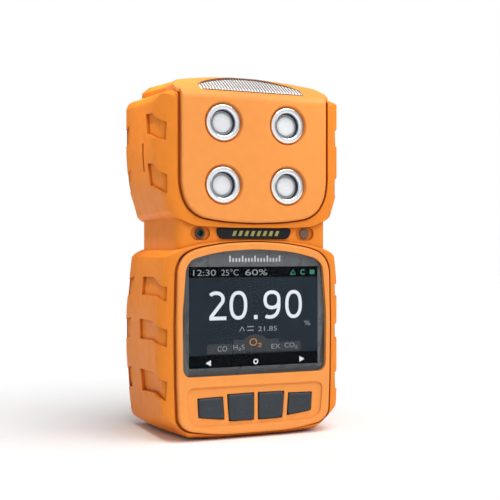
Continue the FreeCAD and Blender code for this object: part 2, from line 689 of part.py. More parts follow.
def port_cover():
    y, z = PORT_PIVOT
    lid = box(-7.8, 7.8, y - 0.5, y + 0.5, 5.5, z)
    lid = lid.makeFillet(0.9, [e for e in lid.Edges if e.BoundBox.YLength > 0.9 and e.BoundBox.ZMax < 6.0])
    plug = box(-4.3, 4.3, 20.65, y - 0.4, 7.3, 10.5)
    knuckle = cyl_x(0.65, -7.8, 7.8, y, z)
    lift = box(-2.4, 2.4, y + 0.4, y + 0.8, 5.7, 6.6)
    solid = lid.fuse([plug, knuckle, lift]).removeSplitter()
    return solid.cut(cyl_x(0.42, -10, 10, y, z))


def port_pin():
    return cyl_x(0.35, -9.2, 9.2, PORT_PIVOT[0], PORT_PIVOT[1])


# ---- sound and light openings in the waist ----

def sound_recesses():
    cuts = []
    for x in (-20.3, 20.3):
        oval = cyl_y(2.5, Y_WAIST - 1, Y_WAIST + 0.9, x - 1.1, 72.4)
        oval = oval.fuse(cyl_y(2.5, Y_WAIST - 1, Y_WAIST + 0.9, x + 1.1, 72.4))
        oval = oval.fuse(box(x - 1.1, x + 1.1, Y_WAIST - 1, Y_WAIST + 0.9, 69.9, 74.9))
        cuts.append(oval)
    return cuts


def sound_port_ring():
    return ring_y(1.75, 1.15, -20.1, -18.0, -20.3, 72.4)


def sound_mesh():
    return cyl_y(1.15, -18.5, -18.2, -20.3, 72.4)


def buzzer():
    body = cyl_y(4.2, -17.9, -15.4, -20.3, 72.4)
    return body.cut(cyl_y(1.2, -18.5, -17.0, -20.3, 72.4))


def indicator_lens():
    return cyl_y(1.75, -20.0, -17.6, 20.3, 72.4).fuse(cyl_y(1.3, -17.6, -16.1, 20.3, 72.4)).removeSplitter()


def nameplate_solid():
    points = [(12.6, 70.5), (13.8, 71.4), (14.4, 73.4), (13.9, 74.3)]
    return smooth_prism(both_sides(points), Y_WAIST - 0.5, Y_WAIST + 0.7)


# ---- gas inlets and sensors ----

def inlet_places():
    return [(x, z) for z in PORT_Z for x in (-PORT_X, PORT_X)]


def inlet_rings():
    items = []
    for x, z in inlet_places():
        ring = cyl_y(6.5, -22.4, -21.4, x, z)
        ring = ring.makeFillet(0.6, edges_at_y(ring, -22.4))
        ring = ring.fuse(cyl_y(5.0, -21.4, FRONT_IN, x, z))
        ring = ring.cut([cyl_y(4.4, -24, -19.7, x, z), cyl_y(3.2, -21, -19, x, z)])
        items.append(ring)
    return group(items)


def dust_filters():
    items = []
    for x, z in inlet_places():
        disc = cyl_y(4.35, -20.2, -19.7, x, z)
        hub = cyl_y(3.3, -21.1, -20.0, x, z)
        hub = hub.makeFillet(0.8, edges_at_y(hub, -21.1))
        items.append(disc.fuse(hub).removeSplitter())
    return group(items)


def inlet_seals():
    return group([ring_y(7.0, 5.0, -20.6, FRONT_IN, x, z) for x, z in inlet_places()])


def sensor_holder():
    profile = [(FRONT_IN, 78.2), (FRONT_IN, 119.6), (-17.2, 121.9), (-15.2, 123.6), (-9.0, 123.6),
               (-9.0, 78.2)]
    block = prism_x(profile, -24.9, 24.9)
    rails = [box(22.9, 24.9, -9.0, 1.4, 80.2, 120.0), box(-24.9, -22.9, -9.0, 1.4, 80.2, 120.0)]
    block = block.fuse(rails)
    cuts = []
    for x, z in inlet_places():
        cuts.append(cyl_y(SENSOR_R + 0.15, -17.0, 2, x, z))
        cuts.append(cyl_y(3.9, -20, -16, x, z))
    for z in COVER_SCREW_Z:
        cuts.append(cyl_y(1.0, -20, -16, 0, z))
        cuts.append(cyl_y(2.1, -17.0, -8, 0, z))
    for x in (-23.9, 23.9):
        for z in (84.0, 116.0):
            cuts.append(cyl_y(0.7, -3.6, 2, x, z))
    for x in (-15.0, 15.0):
        cuts.append(cyl_z(0.7, 121.0, 124.0, x, -9.9))
    return block.cut(cuts)


def cell(x, z, bands):
    body = cyl_y(SENSOR_R, -17.0, -1.0, x, z)
    body = body.makeChamfer(0.5, edges_at_y(body, -17.0) + edges_at_y(body, -1.0))
    starts = [-3.0 - 1.6 * i for i in range(bands)]
    grooves = [ring_y(SENSOR_R + 1, SENSOR_R - 0.4, y, y + 0.6, x, z) for y in starts]
    body = body.cut(grooves)
    inlet = cyl_y(3.6, -18.4, -17.0, x, z)
    pins = []
    for angle in (90, 210, 330):
        px = x + 6.6 * math.cos(math.radians(angle))
        pz = z + 6.6 * math.sin(math.radians(angle))
        pins.append(cyl_y(0.75, -1.0, 1.4, px, pz))
    return body.fuse([inlet] + pins).removeSplitter()


def sensor_board():
    board = box(-26.0, 26.0, 1.4, 3.0, 80.2, 120.0)
    return board.cut([cyl_y(0.8, 0, 4, x, z) for x in (-23.9, 23.9) for z in (84.0, 116.0)])


def sensor_board_parts():
    items = [box(-4.0, 4.0, 3.0, 4.4, 96.0, 104.0), box(-18.0, -12.0, 3.0, 4.2, 90.0, 96.0)]
    items += [box(12.0, 18.0, 3.0, 4.2, 90.0, 96.0), box(-18.0, -12.0, 3.0, 4.2, 106.0, 112.0)]
    items += [box(12.0, 18.0, 3.0, 4.2, 106.0, 112.0), box(-7.0, 7.0, 3.0, 5.4, 84.2, 87.0)]
    return group(items)


def sensor_board_screws():
    spots = [(x, z) for x in (-23.9, 23.9) for z in (84.0, 116.0)]
    return group([screw_y(x, z, 3.0, 1.5, 1.0, 0.7, -3.0) for x, z in spots])


def cover_screws():
    return group([screw_y(0, z, -17.0, 1.9, 1.4, 1.0, -21.7) for z in COVER_SCREW_Z])


def board_ribbon():
    low = box(-6.0, 6.0, -13.8, -13.6, 70.6, 76.2)
    run = box(-6.0, 6.0, -13.8, 6.0, 76.2, 76.4)
    rise = box(-6.0, 6.0, 5.8, 6.0, 76.4, 85.6)
    plug = box(-6.0, 6.0, 5.4, 5.8, 84.4, 85.6)
    return low.fuse([run, rise, plug]).removeSplitter()


# ---- alarm light ----

def alarm_lens():
    return lens_solid(0.12)


def alarm_led_board():
    board = box(-21.0, 21.0, -13.2, -9.2, 123.6, 124.6)
    return board.cut([cyl_z(0.8, 123.0, 125.0, x, -9.9) for x in (-15.0, 15.0)])


def alarm_leds():
    places = (-17.5, -10.5, -3.5, 3.5, 10.5, 17.5)
    items = [box(x - 1.2, x + 1.2, -12.2, -10.4, 124.6, 125.2) for x in places]
    return group(items)


# ---- power and vibration ----

def battery_pack():
    pack = box(-25.0, 25.0, 4.6, 17.0, 20.0, 60.0)
    return pack.makeFillet(2.5, [e for e in pack.Edges if e.BoundBox.ZLength > 30])


def battery_pads():
    return group([box(-20, 20, 17.0, BACK_IN, z, z + 8.0) for z in (24.0, 48.0)])


def battery_bracket():
    plate = box(-27.0, 27.0, 3.4, 4.6, 22.0, 58.0)
    plate = plate.cut(box(-16.0, 16.0, 3, 5, 30.0, 50.0))
    arms = [box(25.6, 27.0, 4.6, BACK_IN, 34.0, 46.0), box(-27.0, -25.6, 4.6, BACK_IN, 34.0, 46.0)]
    return plate.fuse(arms).removeSplitter()


def vibration_motor():
    return cyl_x(3.0, -10.0, 2.0, 10.0, 72.0).fuse(cyl_x(1.2, 2.0, 2.5, 10.0, 72.0)).fuse(
        cyl_x(0.5, 2.5, 8.0, 10.0, 72.0)).removeSplitter()


def vibration_weight():
    disc = cyl_x(2.9, 3.2, 7.4, 10.0, 72.0).cut(box(0, 10, 0, 20, 72.9, 80))
    return disc.cut(cyl_x(0.55, 0, 10, 10.0, 72.0))


# ---- case fasteners ----

def case_screws():
    return group([screw_y(x, z, 19.4, 2.8, 2.0, 1.5, -2.0) for x, z in SCREW_XZ])


def case_inserts():
    return group([ring_y(2.1, 1.5, -1.0, Y_SPLIT, x, z) for x, z in SCREW_XZ])


# ---- belt clip ----

def clip_base():
    plate = box(-11.0, 11.0, Y_BACK, Y_BACK + 1.4, 54.0, 104.0)
    plate = plate.makeFillet(2.5, [e for e in plate.Edges if along_y(e)])
    y, z = CLIP_PIVOT
    ears = []
    for x in (-11.0, 9.8):
        ears.append(box(x, x + 1.2, Y_BACK + 1.0, y, z - 3.2, z + 3.2).fuse(cyl_x(3.2, x, x + 1.2, y, z)))
    plate = plate.fuse(ears).removeSplitter()
    cuts = [cyl_x(1.5, -20, 20, y, z)] + [cyl_y(1.6, 20, 26, 0, k) for k in (62.0, 98.0)]
    return plate.cut(cuts)


def clip_lever():
    y, z = CLIP_PIVOT
    profile = [(30.6, 56.0), (30.6, 100.0), (33.0, 110.0), (34.6, 109.6), (32.2, 99.6), (32.2, 54.6),
               (26.2, 53.4), (24.55, 54.4), (24.55, 55.4), (25.2, 56.4)]
    arm = prism_x(profile, -8.6, 8.6)
    cheeks = []
    for x in (-8.6, 7.4):
        cheeks.append(box(x, x + 1.2, y, 30.8, z - 3.0, z + 3.0).fuse(cyl_x(2.9, x, x + 1.2, y, z)))
    arm = arm.fuse(cheeks).removeSplitter()
    slots = [box(-5.0, 5.0, 30.0, 33.0, k, k + 3.0) for k in (66.0, 74.0, 82.0)]
    return arm.cut([cyl_x(1.56, -20, 20, y, z)] + slots)


def clip_pin():
    y, z = CLIP_PIVOT
    return cyl_x(1.5, -11.0, 11.0, y, z).fuse([cyl_x(2.2, -11.8, -11.0, y, z), cyl_x(2.2, 11.0, 11.8, y, z)])


def clip_spring():
    y, z = CLIP_PIVOT
    mean = 1.93
    wire = 0.36
    coil = Part.makeHelix(1.0, 4.5, mean)
    profile = Part.Wire(Part.makeCircle(wire, FreeCAD.Vector(mean, 0, 0), FreeCAD.Vector(0, 1, 0.08)))
    coil = Part.Wire(coil).makePipeShell([profile], True, True)
    coil.rotate(FreeCAD.Vector(0, 0, 0), FreeCAD.Vector(0, 1, 0), 90)
    coil.rotate(FreeCAD.Vector(0, 0, 0), FreeCAD.Vector(1, 0, 0), -90)
    coil.translate(FreeCAD.Vector(-2.25, y, z))
    fall = FreeCAD.Vector(0, -0.165, -1)
    rise = FreeCAD.Vector(0, -0.29, 1)
    lower = Part.makeCylinder(wire, 9.0, FreeCAD.Vector(-2.25, y - mean, z), fall)
    upper = Part.makeCylinder(wire, 6.0, FreeCAD.Vector(2.25, y + mean, z), rise)
    return coil.fuse([lower, upper]).removeSplitter()


def clip_screws():
    items = []
    for z in (62.0, 98.0):
        items.append(screw_y(0, z, Y_BACK + 1.4, 2.4, 1.0, 1.25, 17.8))
    return group(items)


def save(name, shape):
    bad = [s for s in shape.Solids if not s.isValid() or s.Volume <= 0]
    print(name, "solids", len(shape.Solids), "volume", round(shape.Volume, 1), "bad", len(bad))
    shape.exportStep("parts/" + name + ".step")


def main():
    os.makedirs("parts", exist_ok=True)
    case = case_solid()
    inside = cavity()
    save("front_shell", front_shell(case, inside))
    save("rear_shell", rear_shell(case, inside))
    save("case_gasket", case_gasket())
    save("sensor_cover", sensor_cover())
    save("fascia", fascia())
    save("nameplate", nameplate_solid())
    save("inlet_rings", inlet_rings())
    save("dust_filters", dust_filters())
    save("inlet_seals", inlet_seals())
    save("sensor_holder", sensor_holder())
    save("sensor_oxygen", cell(-PORT_X, PORT_Z[0], 3))
    save("sensor_combustible", cell(PORT_X, PORT_Z[0], 1))
    save("sensor_carbon_monoxide", cell(-PORT_X, PORT_Z[1], 2))
    save("sensor_hydrogen_sulfide", cell(PORT_X, PORT_Z[1], 2))
    save("sensor_board", sensor_board())
    save("sensor_board_parts", sensor_board_parts())
    save("sensor_board_screws", sensor_board_screws())
    save("cover_screws", cover_screws())
    save("board_ribbon", board_ribbon())
    save("alarm_lens", alarm_lens())
    save("alarm_led_board", alarm_led_board())
    save("alarm_leds", alarm_leds())
    save("display_window", display_window())
    save("display_mask", display_mask())
    save("display_gasket", display_gasket())
    save("lcd_panel", lcd_panel())
    save("backlight_frame", backlight_frame())
    save("light_guide", light_guide())
    save("lcd_flex", lcd_flex())
    save("keypad_retainer", keypad_retainer())
    for name, points in BUTTONS.items():
        save(name, button(points))
    save("button_switches", button_switches())
    save("main_board", main_board())
    save("main_board_parts", main_board_parts())
    save("main_board_screws", main_board_screws())
    save("charge_board", charge_board())
    save("charge_socket", charge_socket())
    save("port_cover", port_cover())
    save("port_pin", port_pin())
    save("sound_port_ring", sound_port_ring())
    save("sound_mesh", sound_mesh())
    save("buzzer", buzzer())
    save("indicator_lens", indicator_lens())
    save("battery_pack", battery_pack())
    save("battery_pads", battery_pads())
    save("battery_bracket", battery_bracket())
    save("vibration_motor", vibration_motor())
    save("vibration_weight", vibration_weight())
    save("case_screws", case_screws())
    save("case_inserts", case_inserts())
    save("clip_base", clip_base())
    save("clip_lever", clip_lever())
    save("clip_pin", clip_pin())
    save("clip_spring", clip_spring())
    save("clip_screws", clip_screws())


main()
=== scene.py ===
import math
import bmesh
import bpy
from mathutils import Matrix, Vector


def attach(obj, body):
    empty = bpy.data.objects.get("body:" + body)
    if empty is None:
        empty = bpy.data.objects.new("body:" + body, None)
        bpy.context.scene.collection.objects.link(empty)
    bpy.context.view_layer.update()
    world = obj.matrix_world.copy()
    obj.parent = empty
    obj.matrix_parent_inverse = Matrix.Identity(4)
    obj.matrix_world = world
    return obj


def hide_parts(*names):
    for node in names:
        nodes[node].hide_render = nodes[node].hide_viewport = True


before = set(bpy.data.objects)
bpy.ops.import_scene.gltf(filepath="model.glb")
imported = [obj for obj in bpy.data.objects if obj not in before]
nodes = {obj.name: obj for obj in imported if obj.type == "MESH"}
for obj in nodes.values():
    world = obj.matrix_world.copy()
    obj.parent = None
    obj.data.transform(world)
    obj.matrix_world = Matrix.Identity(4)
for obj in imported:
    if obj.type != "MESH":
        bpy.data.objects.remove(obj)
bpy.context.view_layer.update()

# A portable gas detector: finishes for the CAD parts, and finer pieces in place of some of them.
# Shapes are given in millimetres, x across, y from front to back and z up, and made in metres.

MM = 0.001
scene = bpy.context.scene


# ------------------------------------------------------------------ materials

MOTTLE_SCALE = 260.0        # slow colour drift, a few millimetres across
SPECK_SCALE = 1800.0        # spark-eroded specks
SPECK_WEIGHT = 0.12
GLOSS_SCALE = 240.0         # patches of slightly different gloss
SWELL_SCALE = 420.0         # shallow unevenness under the fine grain
SWELL_WEIGHT = 0.7
SHADE_REACH = 0.0022       # metres over which painted shade reaches into a groove
DOT_SIZE = 0.00018          # metres across one dot of the display
LENS_RIB = 1.15             # millimetres from rib to rib of the alarm lens
WINDOW_FACE_GLOSS = 0.006   # share of gloss seen straight on, and what is added at a glancing angle
WINDOW_EDGE_GLOSS = 0.5
WINDOW_SHARPNESS = 3.5


class Tree:
    """A material with its node tree, and short ways to add to it."""

    def __init__(self, name):
        self.mat = bpy.data.materials.new(name)
        self.mat.use_nodes = True
        self.tree = self.mat.node_tree
        self.tree.nodes.clear()
        self.out = self.add("ShaderNodeOutputMaterial")
        self.coords = self.add("ShaderNodeTexCoord").outputs["Object"]

    def add(self, kind, **settings):
        node = self.tree.nodes.new(kind)
        for key, value in settings.items():
            setattr(node, key, value)
        return node

    def link(self, source, target):
        self.tree.links.new(source, target)

    def principled(self, **values):
        self.bsdf = self.add("ShaderNodeBsdfPrincipled")
        for key, value in values.items():
            self.bsdf.inputs[key.replace("_", " ")].default_value = value
        self.link(self.bsdf.outputs[0], self.out.inputs["Surface"])
        return self.bsdf

    def scaled(self, x, y, z):
        """Object coordinates times a factor along each axis."""
        node = self.add("ShaderNodeMapping")
        node.inputs["Scale"].default_value = (x, y, z)
        self.link(self.coords, node.inputs["Vector"])
        return node.outputs[0]

    def noise(self, scale, detail=2.0, rough=0.5, vector=None):
        node = self.add("ShaderNodeTexNoise")
        node.inputs["Scale"].default_value = scale
        node.inputs["Detail"].default_value = detail
        node.inputs["Roughness"].default_value = rough
        self.link(vector or self.coords, node.inputs["Vector"])
        return node.outputs["Fac"]

    def ramp(self, source, low, high, start=0.35, end=0.65):
        """source between start and end, mapped to low to high."""
        node = self.add("ShaderNodeMapRange")
        node.inputs["From Min"].default_value = start
        node.inputs["From Max"].default_value = end
        node.inputs["To Min"].default_value = low
        node.inputs["To Max"].default_value = high
        self.link(source, node.inputs["Value"])
        return node.outputs[0]

    def mix(self, factor, first, second, blend="MIX"):
        """A colour mix. first and second are colours or outputs."""
        node = self.add("ShaderNodeMix", data_type="RGBA", blend_type=blend)
        if isinstance(factor, float):
            node.inputs[0].default_value = factor
        else:
            self.link(factor, node.inputs[0])
        for index, value in ((6, first), (7, second)):
            if isinstance(value, tuple):
                node.inputs[index].default_value = (*value, 1.0)
            else:
                self.link(value, node.inputs[index])
        return node.outputs[2]

    def math(self, operation, first, second=0.0):
        node = self.add("ShaderNodeMath", operation=operation)
        for index, value in ((0, first), (1, second)):
            if isinstance(value, (int, float)):
                node.inputs[index].default_value = value
            else:
                self.link(value, node.inputs[index])
        return node.outputs[0]

    def bump(self, height, distance, strength=1.0, normal=None):
        node = self.add("ShaderNodeBump")
        node.inputs["Distance"].default_value = distance
        node.inputs["Strength"].default_value = strength
        self.link(height, node.inputs["Height"])
        if normal is not None:
            self.link(normal, node.inputs["Normal"])
        return node.outputs[0]

    def soft_edges(self, radius):
        node = self.add("ShaderNodeBevel", samples=6)
        node.inputs["Radius"].default_value = radius
        return node.outputs[0]

    def shade_in_grooves(self, distance):
        """Ambient occlusion for painted shade: 0 in narrow grooves and inner corners, 1 on open surfaces.
        """
        node = self.add("ShaderNodeAmbientOcclusion", samples=8)
        node.inputs["Distance"].default_value = distance
        return node.outputs["AO"]

    def axis(self, index):
        node = self.add("ShaderNodeSeparateXYZ")
        self.link(self.coords, node.inputs[0])
        return node.outputs[index]


def moulded(name, light, dark, crease_shade, rough=(0.36, 0.48), grain=0.00002, grain_scale=2600.0,
            edge=0.0004, coat=0.0, gloss=0.5):
    """Moulded plastic or rubber: slight mottling, fine spark texture, and painted shade in creases if a
    shade colour is given.
    """
    t = Tree(name)
    t.principled(Coat_Weight=coat, Specular_IOR_Level=gloss)
    tone = t.ramp(t.noise(MOTTLE_SCALE, 3.0), 0.0, 0.7, 0.3, 0.7)
    colour = t.mix(tone, light, dark)
    specks = t.ramp(t.noise(SPECK_SCALE, 1.0), 0.0, 1.0, 0.62, 0.78)
    colour = t.mix(t.math("MULTIPLY", specks, SPECK_WEIGHT), colour, dark)
    # Painted shade: grooves and inner corners darken towards the shade colour.
    if crease_shade:
        shade = t.ramp(t.shade_in_grooves(SHADE_REACH), 0.0, 1.0, 0.3, 0.92)
        colour = t.mix(shade, crease_shade, colour)
    t.link(colour, t.bsdf.inputs["Base Color"])
    t.link(t.ramp(t.noise(GLOSS_SCALE, 4.0), rough[0], rough[1]), t.bsdf.inputs["Roughness"])
    swell = t.math("MULTIPLY", t.noise(SWELL_SCALE, 2.0), SWELL_WEIGHT)
    height = t.math("ADD", t.noise(grain_scale, 2.0), swell)
    normal = t.bump(height, grain, 0.5, t.soft_edges(edge) if edge else None)
    t.link(normal, t.bsdf.inputs["Normal"])
    return t.mat


def metal(name, light, dark, rough, stretch=(60.0, 60.0, 60.0), grain=0.000006, edge=0.0002):
    """Metal with fine directional scratches and uneven polish."""
    t = Tree(name)
    t.principled(Metallic=1.0)
    lines = t.noise(30.0, 4.0, 0.6, t.scaled(*stretch))
    t.link(t.mix(t.ramp(lines, 0.0, 1.0, 0.3, 0.7), light, dark), t.bsdf.inputs["Base Color"])
    t.link(t.ramp(lines, rough[0], rough[1], 0.3, 0.7), t.bsdf.inputs["Roughness"])
    t.link(t.bump(lines, grain, 0.4, t.soft_edges(edge) if edge else None), t.bsdf.inputs["Normal"])
    return t.mat


def on_front(t):
    """Texture coordinates (x, z, 0), for patterns drawn on the front."""
    turn = t.add("ShaderNodeCombineXYZ")
    t.link(t.axis(0), turn.inputs[0])
    t.link(t.axis(2), turn.inputs[1])
    return turn.outputs[0]


def glow(name, colour, base=(0.01, 0.012, 0.015)):
    """A lit patch of the display, with its faint grid of dots."""
    t = Tree(name)
    t.principled(Roughness=0.5, Specular_IOR_Level=0.02)
    t.bsdf.inputs["Base Color"].default_value = (*base, 1.0)
    grid = t.add("ShaderNodeTexBrick", offset=0.0, squash=1.0)
    grid.inputs["Scale"].default_value = 1.0
    grid.inputs["Mortar Size"].default_value = DOT_SIZE * 0.09
    grid.inputs["Brick Width"].default_value = DOT_SIZE
    grid.inputs["Row Height"].default_value = DOT_SIZE
    grid.inputs["Color1"].default_value = (1, 1, 1, 1)
    grid.inputs["Color2"].default_value = (0.93, 0.95, 1, 1)
    grid.inputs["Mortar"].default_value = (0.86, 0.86, 0.86, 1)
    t.link(on_front(t), grid.inputs["Vector"])
    uneven = t.ramp(t.noise(60.0, 2.0), 0.92, 1.0)
    tint = t.mix(1.0, grid.outputs["Color"], colour, "MULTIPLY")
    spread = t.add("ShaderNodeVectorMath", operation="SCALE")
    t.link(tint, spread.inputs[0])
    t.link(uneven, spread.inputs["Scale"])
    t.link(spread.outputs[0], t.bsdf.inputs["Emission Color"])
    t.bsdf.inputs["Emission Strength"].default_value = 1.0
    return t.mat


# Colours are given as light, dark and the painted shade colour for creases.
M = {
    "orange_case": moulded(
        "orange_case", (0.82, 0.247, 0.031), (0.765, 0.222, 0.027), (0.46, 0.10, 0.010), gloss=0.06),
    "orange_panel": moulded(
        "orange_panel", (0.855, 0.315, 0.076), (0.82, 0.292, 0.067), None, rough=(0.34, 0.44), gloss=0.10),
    "black_gloss": moulded(
        "black_gloss", (0.012, 0.012, 0.014), (0.02, 0.02, 0.022), (0.004, 0.004, 0.004),
        rough=(0.12, 0.2), grain=0.000004, gloss=0.12),
    "seal_rubber": moulded(
        "seal_rubber", (0.03, 0.03, 0.032), (0.045, 0.045, 0.047), (0.01, 0.01, 0.01),
        rough=(0.6, 0.75), edge=0.0),
    "seal_foam": moulded(
        "seal_foam", (0.16, 0.165, 0.17), (0.11, 0.115, 0.12), (0.04, 0.04, 0.04),
        rough=(0.8, 0.95), grain=0.00006, grain_scale=1500.0, edge=0.0),
    # Painted shade: dark brown for the strips along the alarm lens edges.
    "seal_brown": moulded(
        "seal_brown", (0.16, 0.055, 0.022), (0.12, 0.042, 0.018), None, rough=(0.6, 0.75), edge=0.0),
    "black_moulded": moulded(
        "black_moulded", (0.035, 0.036, 0.038), (0.05, 0.05, 0.053), (0.01, 0.01, 0.01), rough=(0.45, 0.6)),
    "button_rubber": moulded(
        "button_rubber", (0.029, 0.036, 0.044), (0.035, 0.043, 0.052), None,
        rough=(0.42, 0.56), gloss=0.26),
    "mask_grey": moulded(
        "mask_grey", (0.106, 0.110, 0.115), (0.112, 0.116, 0.121), None,
        rough=(0.25, 0.34), grain=0.000004, edge=0.0),
    # Painted shade: near-black navy for the shade inside the inlet bores.
    "bore_black": moulded(
        "bore_black", (0.012, 0.020, 0.045), (0.018, 0.027, 0.055), None,
        rough=(0.3, 0.4), grain=0.000004, edge=0.0),
    "filter_disc": moulded(
        "filter_disc", (0.80, 0.81, 0.83), (0.72, 0.73, 0.755), (0.56, 0.57, 0.60),
        rough=(0.5, 0.65), grain=0.00004, grain_scale=3400.0, edge=0.0),
    "icon_print": moulded(
        "icon_print", (0.019, 0.025, 0.033), (0.024, 0.031, 0.040), None,
        rough=(0.5, 0.6), grain=0.000004, edge=0.0),
    "label_print": moulded(
        "label_print", (0.62, 0.65, 0.68), (0.55, 0.58, 0.61), None,
        rough=(0.4, 0.5), grain=0.000003, edge=0.0),
    "plate_mark": moulded(
        "plate_mark", (0.34, 0.31, 0.08), (0.26, 0.27, 0.08), None,
        rough=(0.3, 0.4), grain=0.000003, edge=0.0),
    "chrome": metal("chrome", (0.88, 0.89, 0.91), (0.78, 0.80, 0.83), (0.08, 0.16), edge=0.0),
    "steel": metal("steel", (0.66, 0.66, 0.67), (0.50, 0.50, 0.52), (0.24, 0.38), (20.0, 20.0, 400.0)),
    "dark_steel": metal("dark_steel", (0.10, 0.10, 0.105), (0.16, 0.16, 0.165), (0.34, 0.48)),
    "brass": metal("brass", (0.78, 0.57, 0.24), (0.62, 0.43, 0.16), (0.22, 0.36)),
    "tin": metal("tin", (0.72, 0.72, 0.74), (0.58, 0.59, 0.61), (0.3, 0.45)),
}


def board_material():
    """Green solder mask over slightly raised tracks."""
    t = Tree("circuit_board")
    t.principled(Coat_Weight=0.4)
    tracks = t.add("ShaderNodeTexBrick", offset=0.37, squash=0.8)
    tracks.inputs["Scale"].default_value = 1.0
    tracks.inputs["Brick Width"].default_value = 0.0055
    tracks.inputs["Row Height"].default_value = 0.0013
    tracks.inputs["Mortar Size"].default_value = 0.00012
    tracks.inputs["Color1"].default_value = (0.012, 0.10, 0.045, 1)
    tracks.inputs["Color2"].default_value = (0.016, 0.125, 0.055, 1)
    tracks.inputs["Mortar"].default_value = (0.03, 0.22, 0.09, 1)
    t.link(on_front(t), tracks.inputs["Vector"])
    t.link(t.mix(t.ramp(t.noise(200.0), 0.0, 0.4), tracks.outputs["Color"], (0.01, 0.07, 0.03)),
           t.bsdf.inputs["Base Color"])
    t.link(t.ramp(t.noise(500.0), 0.25, 0.4), t.bsdf.inputs["Roughness"])
    t.link(t.bump(tracks.outputs["Fac"], 0.00003, 0.5), t.bsdf.inputs["Normal"])
    return t.mat


# Smooth plastics and films: light and dark colour, roughness, and weight of the clear coat.
for film, light, dark, rough, coat in (
    ("polyimide", (0.50, 0.20, 0.03), (0.38, 0.14, 0.02), (0.25, 0.35), 0.3),
    ("cell_white", (0.80, 0.81, 0.80), (0.72, 0.73, 0.72), (0.3, 0.4), 0.3),
    ("cell_blue", (0.06, 0.16, 0.50), (0.04, 0.12, 0.40), (0.3, 0.4), 0.3),
    ("cell_yellow", (0.75, 0.52, 0.06), (0.64, 0.43, 0.04), (0.3, 0.4), 0.3),
    ("battery_sleeve", (0.03, 0.10, 0.32), (0.022, 0.075, 0.25), (0.2, 0.3), 0.3),
    ("led_body", (0.85, 0.80, 0.62), (0.78, 0.72, 0.5), (0.25, 0.35), 0.3),
    ("acrylic", (0.76, 0.79, 0.83), (0.68, 0.72, 0.77), (0.12, 0.2), 0.3),
    ("indicator", (0.15, 0.085, 0.05), (0.12, 0.07, 0.045), (0.16, 0.26), 0.4),
):
    M[film] = moulded(film, light, dark, None, rough=rough, grain=0.000008, coat=coat)

M["screen_back"] = glow("screen_back", (0.018, 0.026, 0.034), base=(0.004, 0.005, 0.006))
M["screen_bar"] = glow("screen_bar", (0.0008, 0.0012, 0.002), base=(0.001, 0.001, 0.0012))
for lit_name, lit_colour in (
    ("screen_white", (0.92, 0.95, 1.0)),
    ("screen_soft", (0.30, 0.33, 0.35)),
    ("screen_dim", (0.050, 0.050, 0.052)),
    ("screen_grey", (0.32, 0.34, 0.35)),
    ("screen_orange", (0.62, 0.27, 0.07)),
    ("screen_green", (0.06, 0.28, 0.17)),
):
    M[lit_name] = glow(lit_name, lit_colour)


def window_material():
    """Thin hard-coated clear plastic: what is behind shows through, with a light gloss."""
    t = Tree("window_clear")
    clear = t.add("ShaderNodeBsdfTransparent")
    clear.inputs["Color"].default_value = (0.97, 0.98, 0.985, 1)
    gloss = t.add("ShaderNodeBsdfGlossy")
    gloss.inputs["Color"].default_value = (0.34, 0.36, 0.39, 1)
    t.link(t.ramp(t.noise(300.0, 3.0), 0.05, 0.09), gloss.inputs["Roughness"])
    slant = t.add("ShaderNodeLayerWeight")
    slant.inputs["Blend"].default_value = 0.5
    steep = t.math("POWER", slant.outputs["Facing"], WINDOW_SHARPNESS)
    amount = t.math("ADD", t.math("MULTIPLY", steep, WINDOW_EDGE_GLOSS), WINDOW_FACE_GLOSS)
    both = t.add("ShaderNodeMixShader")
    t.link(amount, both.inputs[0])
    t.link(clear.outputs[0], both.inputs[1])
    t.link(gloss.outputs[0], both.inputs[2])
    t.link(both.outputs[0], t.out.inputs["Surface"])
    return t.mat


def ribbed_lens_material():
    """Clear white plastic with painted shade in dark bands between its ribs."""
    t = Tree("alarm_lens_clear")
    t.principled(Roughness=0.16, IOR=1.5, Coat_Weight=0.6)
    # Painted shade: the colour goes dark between the ribs and stays white on them.
    wave = t.math("COSINE", t.math("MULTIPLY", t.axis(0), 2 * math.pi / (LENS_RIB * MM)))
    rib_shade_mask = t.ramp(wave, 0.0, 1.0, -0.5, 0.5)
    colour = t.mix(rib_shade_mask, (0.20, 0.15, 0.13), (0.92, 0.92, 0.94))
    colour = t.mix(t.ramp(t.noise(160.0, 3.0), 0.0, 0.18), colour, (0.46, 0.43, 0.43))
    t.link(colour, t.bsdf.inputs["Base Color"])
    t.link(t.ramp(t.noise(700.0, 2.0), 0.10, 0.24), t.bsdf.inputs["Roughness"])
    t.link(t.bump(t.noise(1500.0, 2.0), 0.000006, 0.5), t.bsdf.inputs["Normal"])
    return t.mat


def mesh_material():
    """Fine woven wire: round holes on a staggered grid, the holes painted near black for the shade seen
    through them.
    """
    t = Tree("port_mesh")
    t.principled(Metallic=0.7, Roughness=0.5)
    cells = t.add("ShaderNodeTexVoronoi")
    cells.inputs["Scale"].default_value = 3600.0
    cells.inputs["Randomness"].default_value = 0.15
    t.link(t.coords, cells.inputs["Vector"])
    hole_shade = t.ramp(cells.outputs["Distance"], 0.0, 1.0, 0.3, 0.45)
    # Painted shade in the holes.
    t.link(t.mix(hole_shade, (0.002, 0.002, 0.002), (0.06, 0.06, 0.062)), t.bsdf.inputs["Base Color"])
    t.link(t.ramp(t.noise(900.0), 0.4, 0.6), t.bsdf.inputs["Roughness"])
    t.link(t.bump(hole_shade, 0.00008, 0.8), t.bsdf.inputs["Normal"])
    return t.mat


M["board"] = board_material()
M["window"] = window_material()
M["alarm_lens"] = ribbed_lens_material()
M["port_mesh"] = mesh_material()

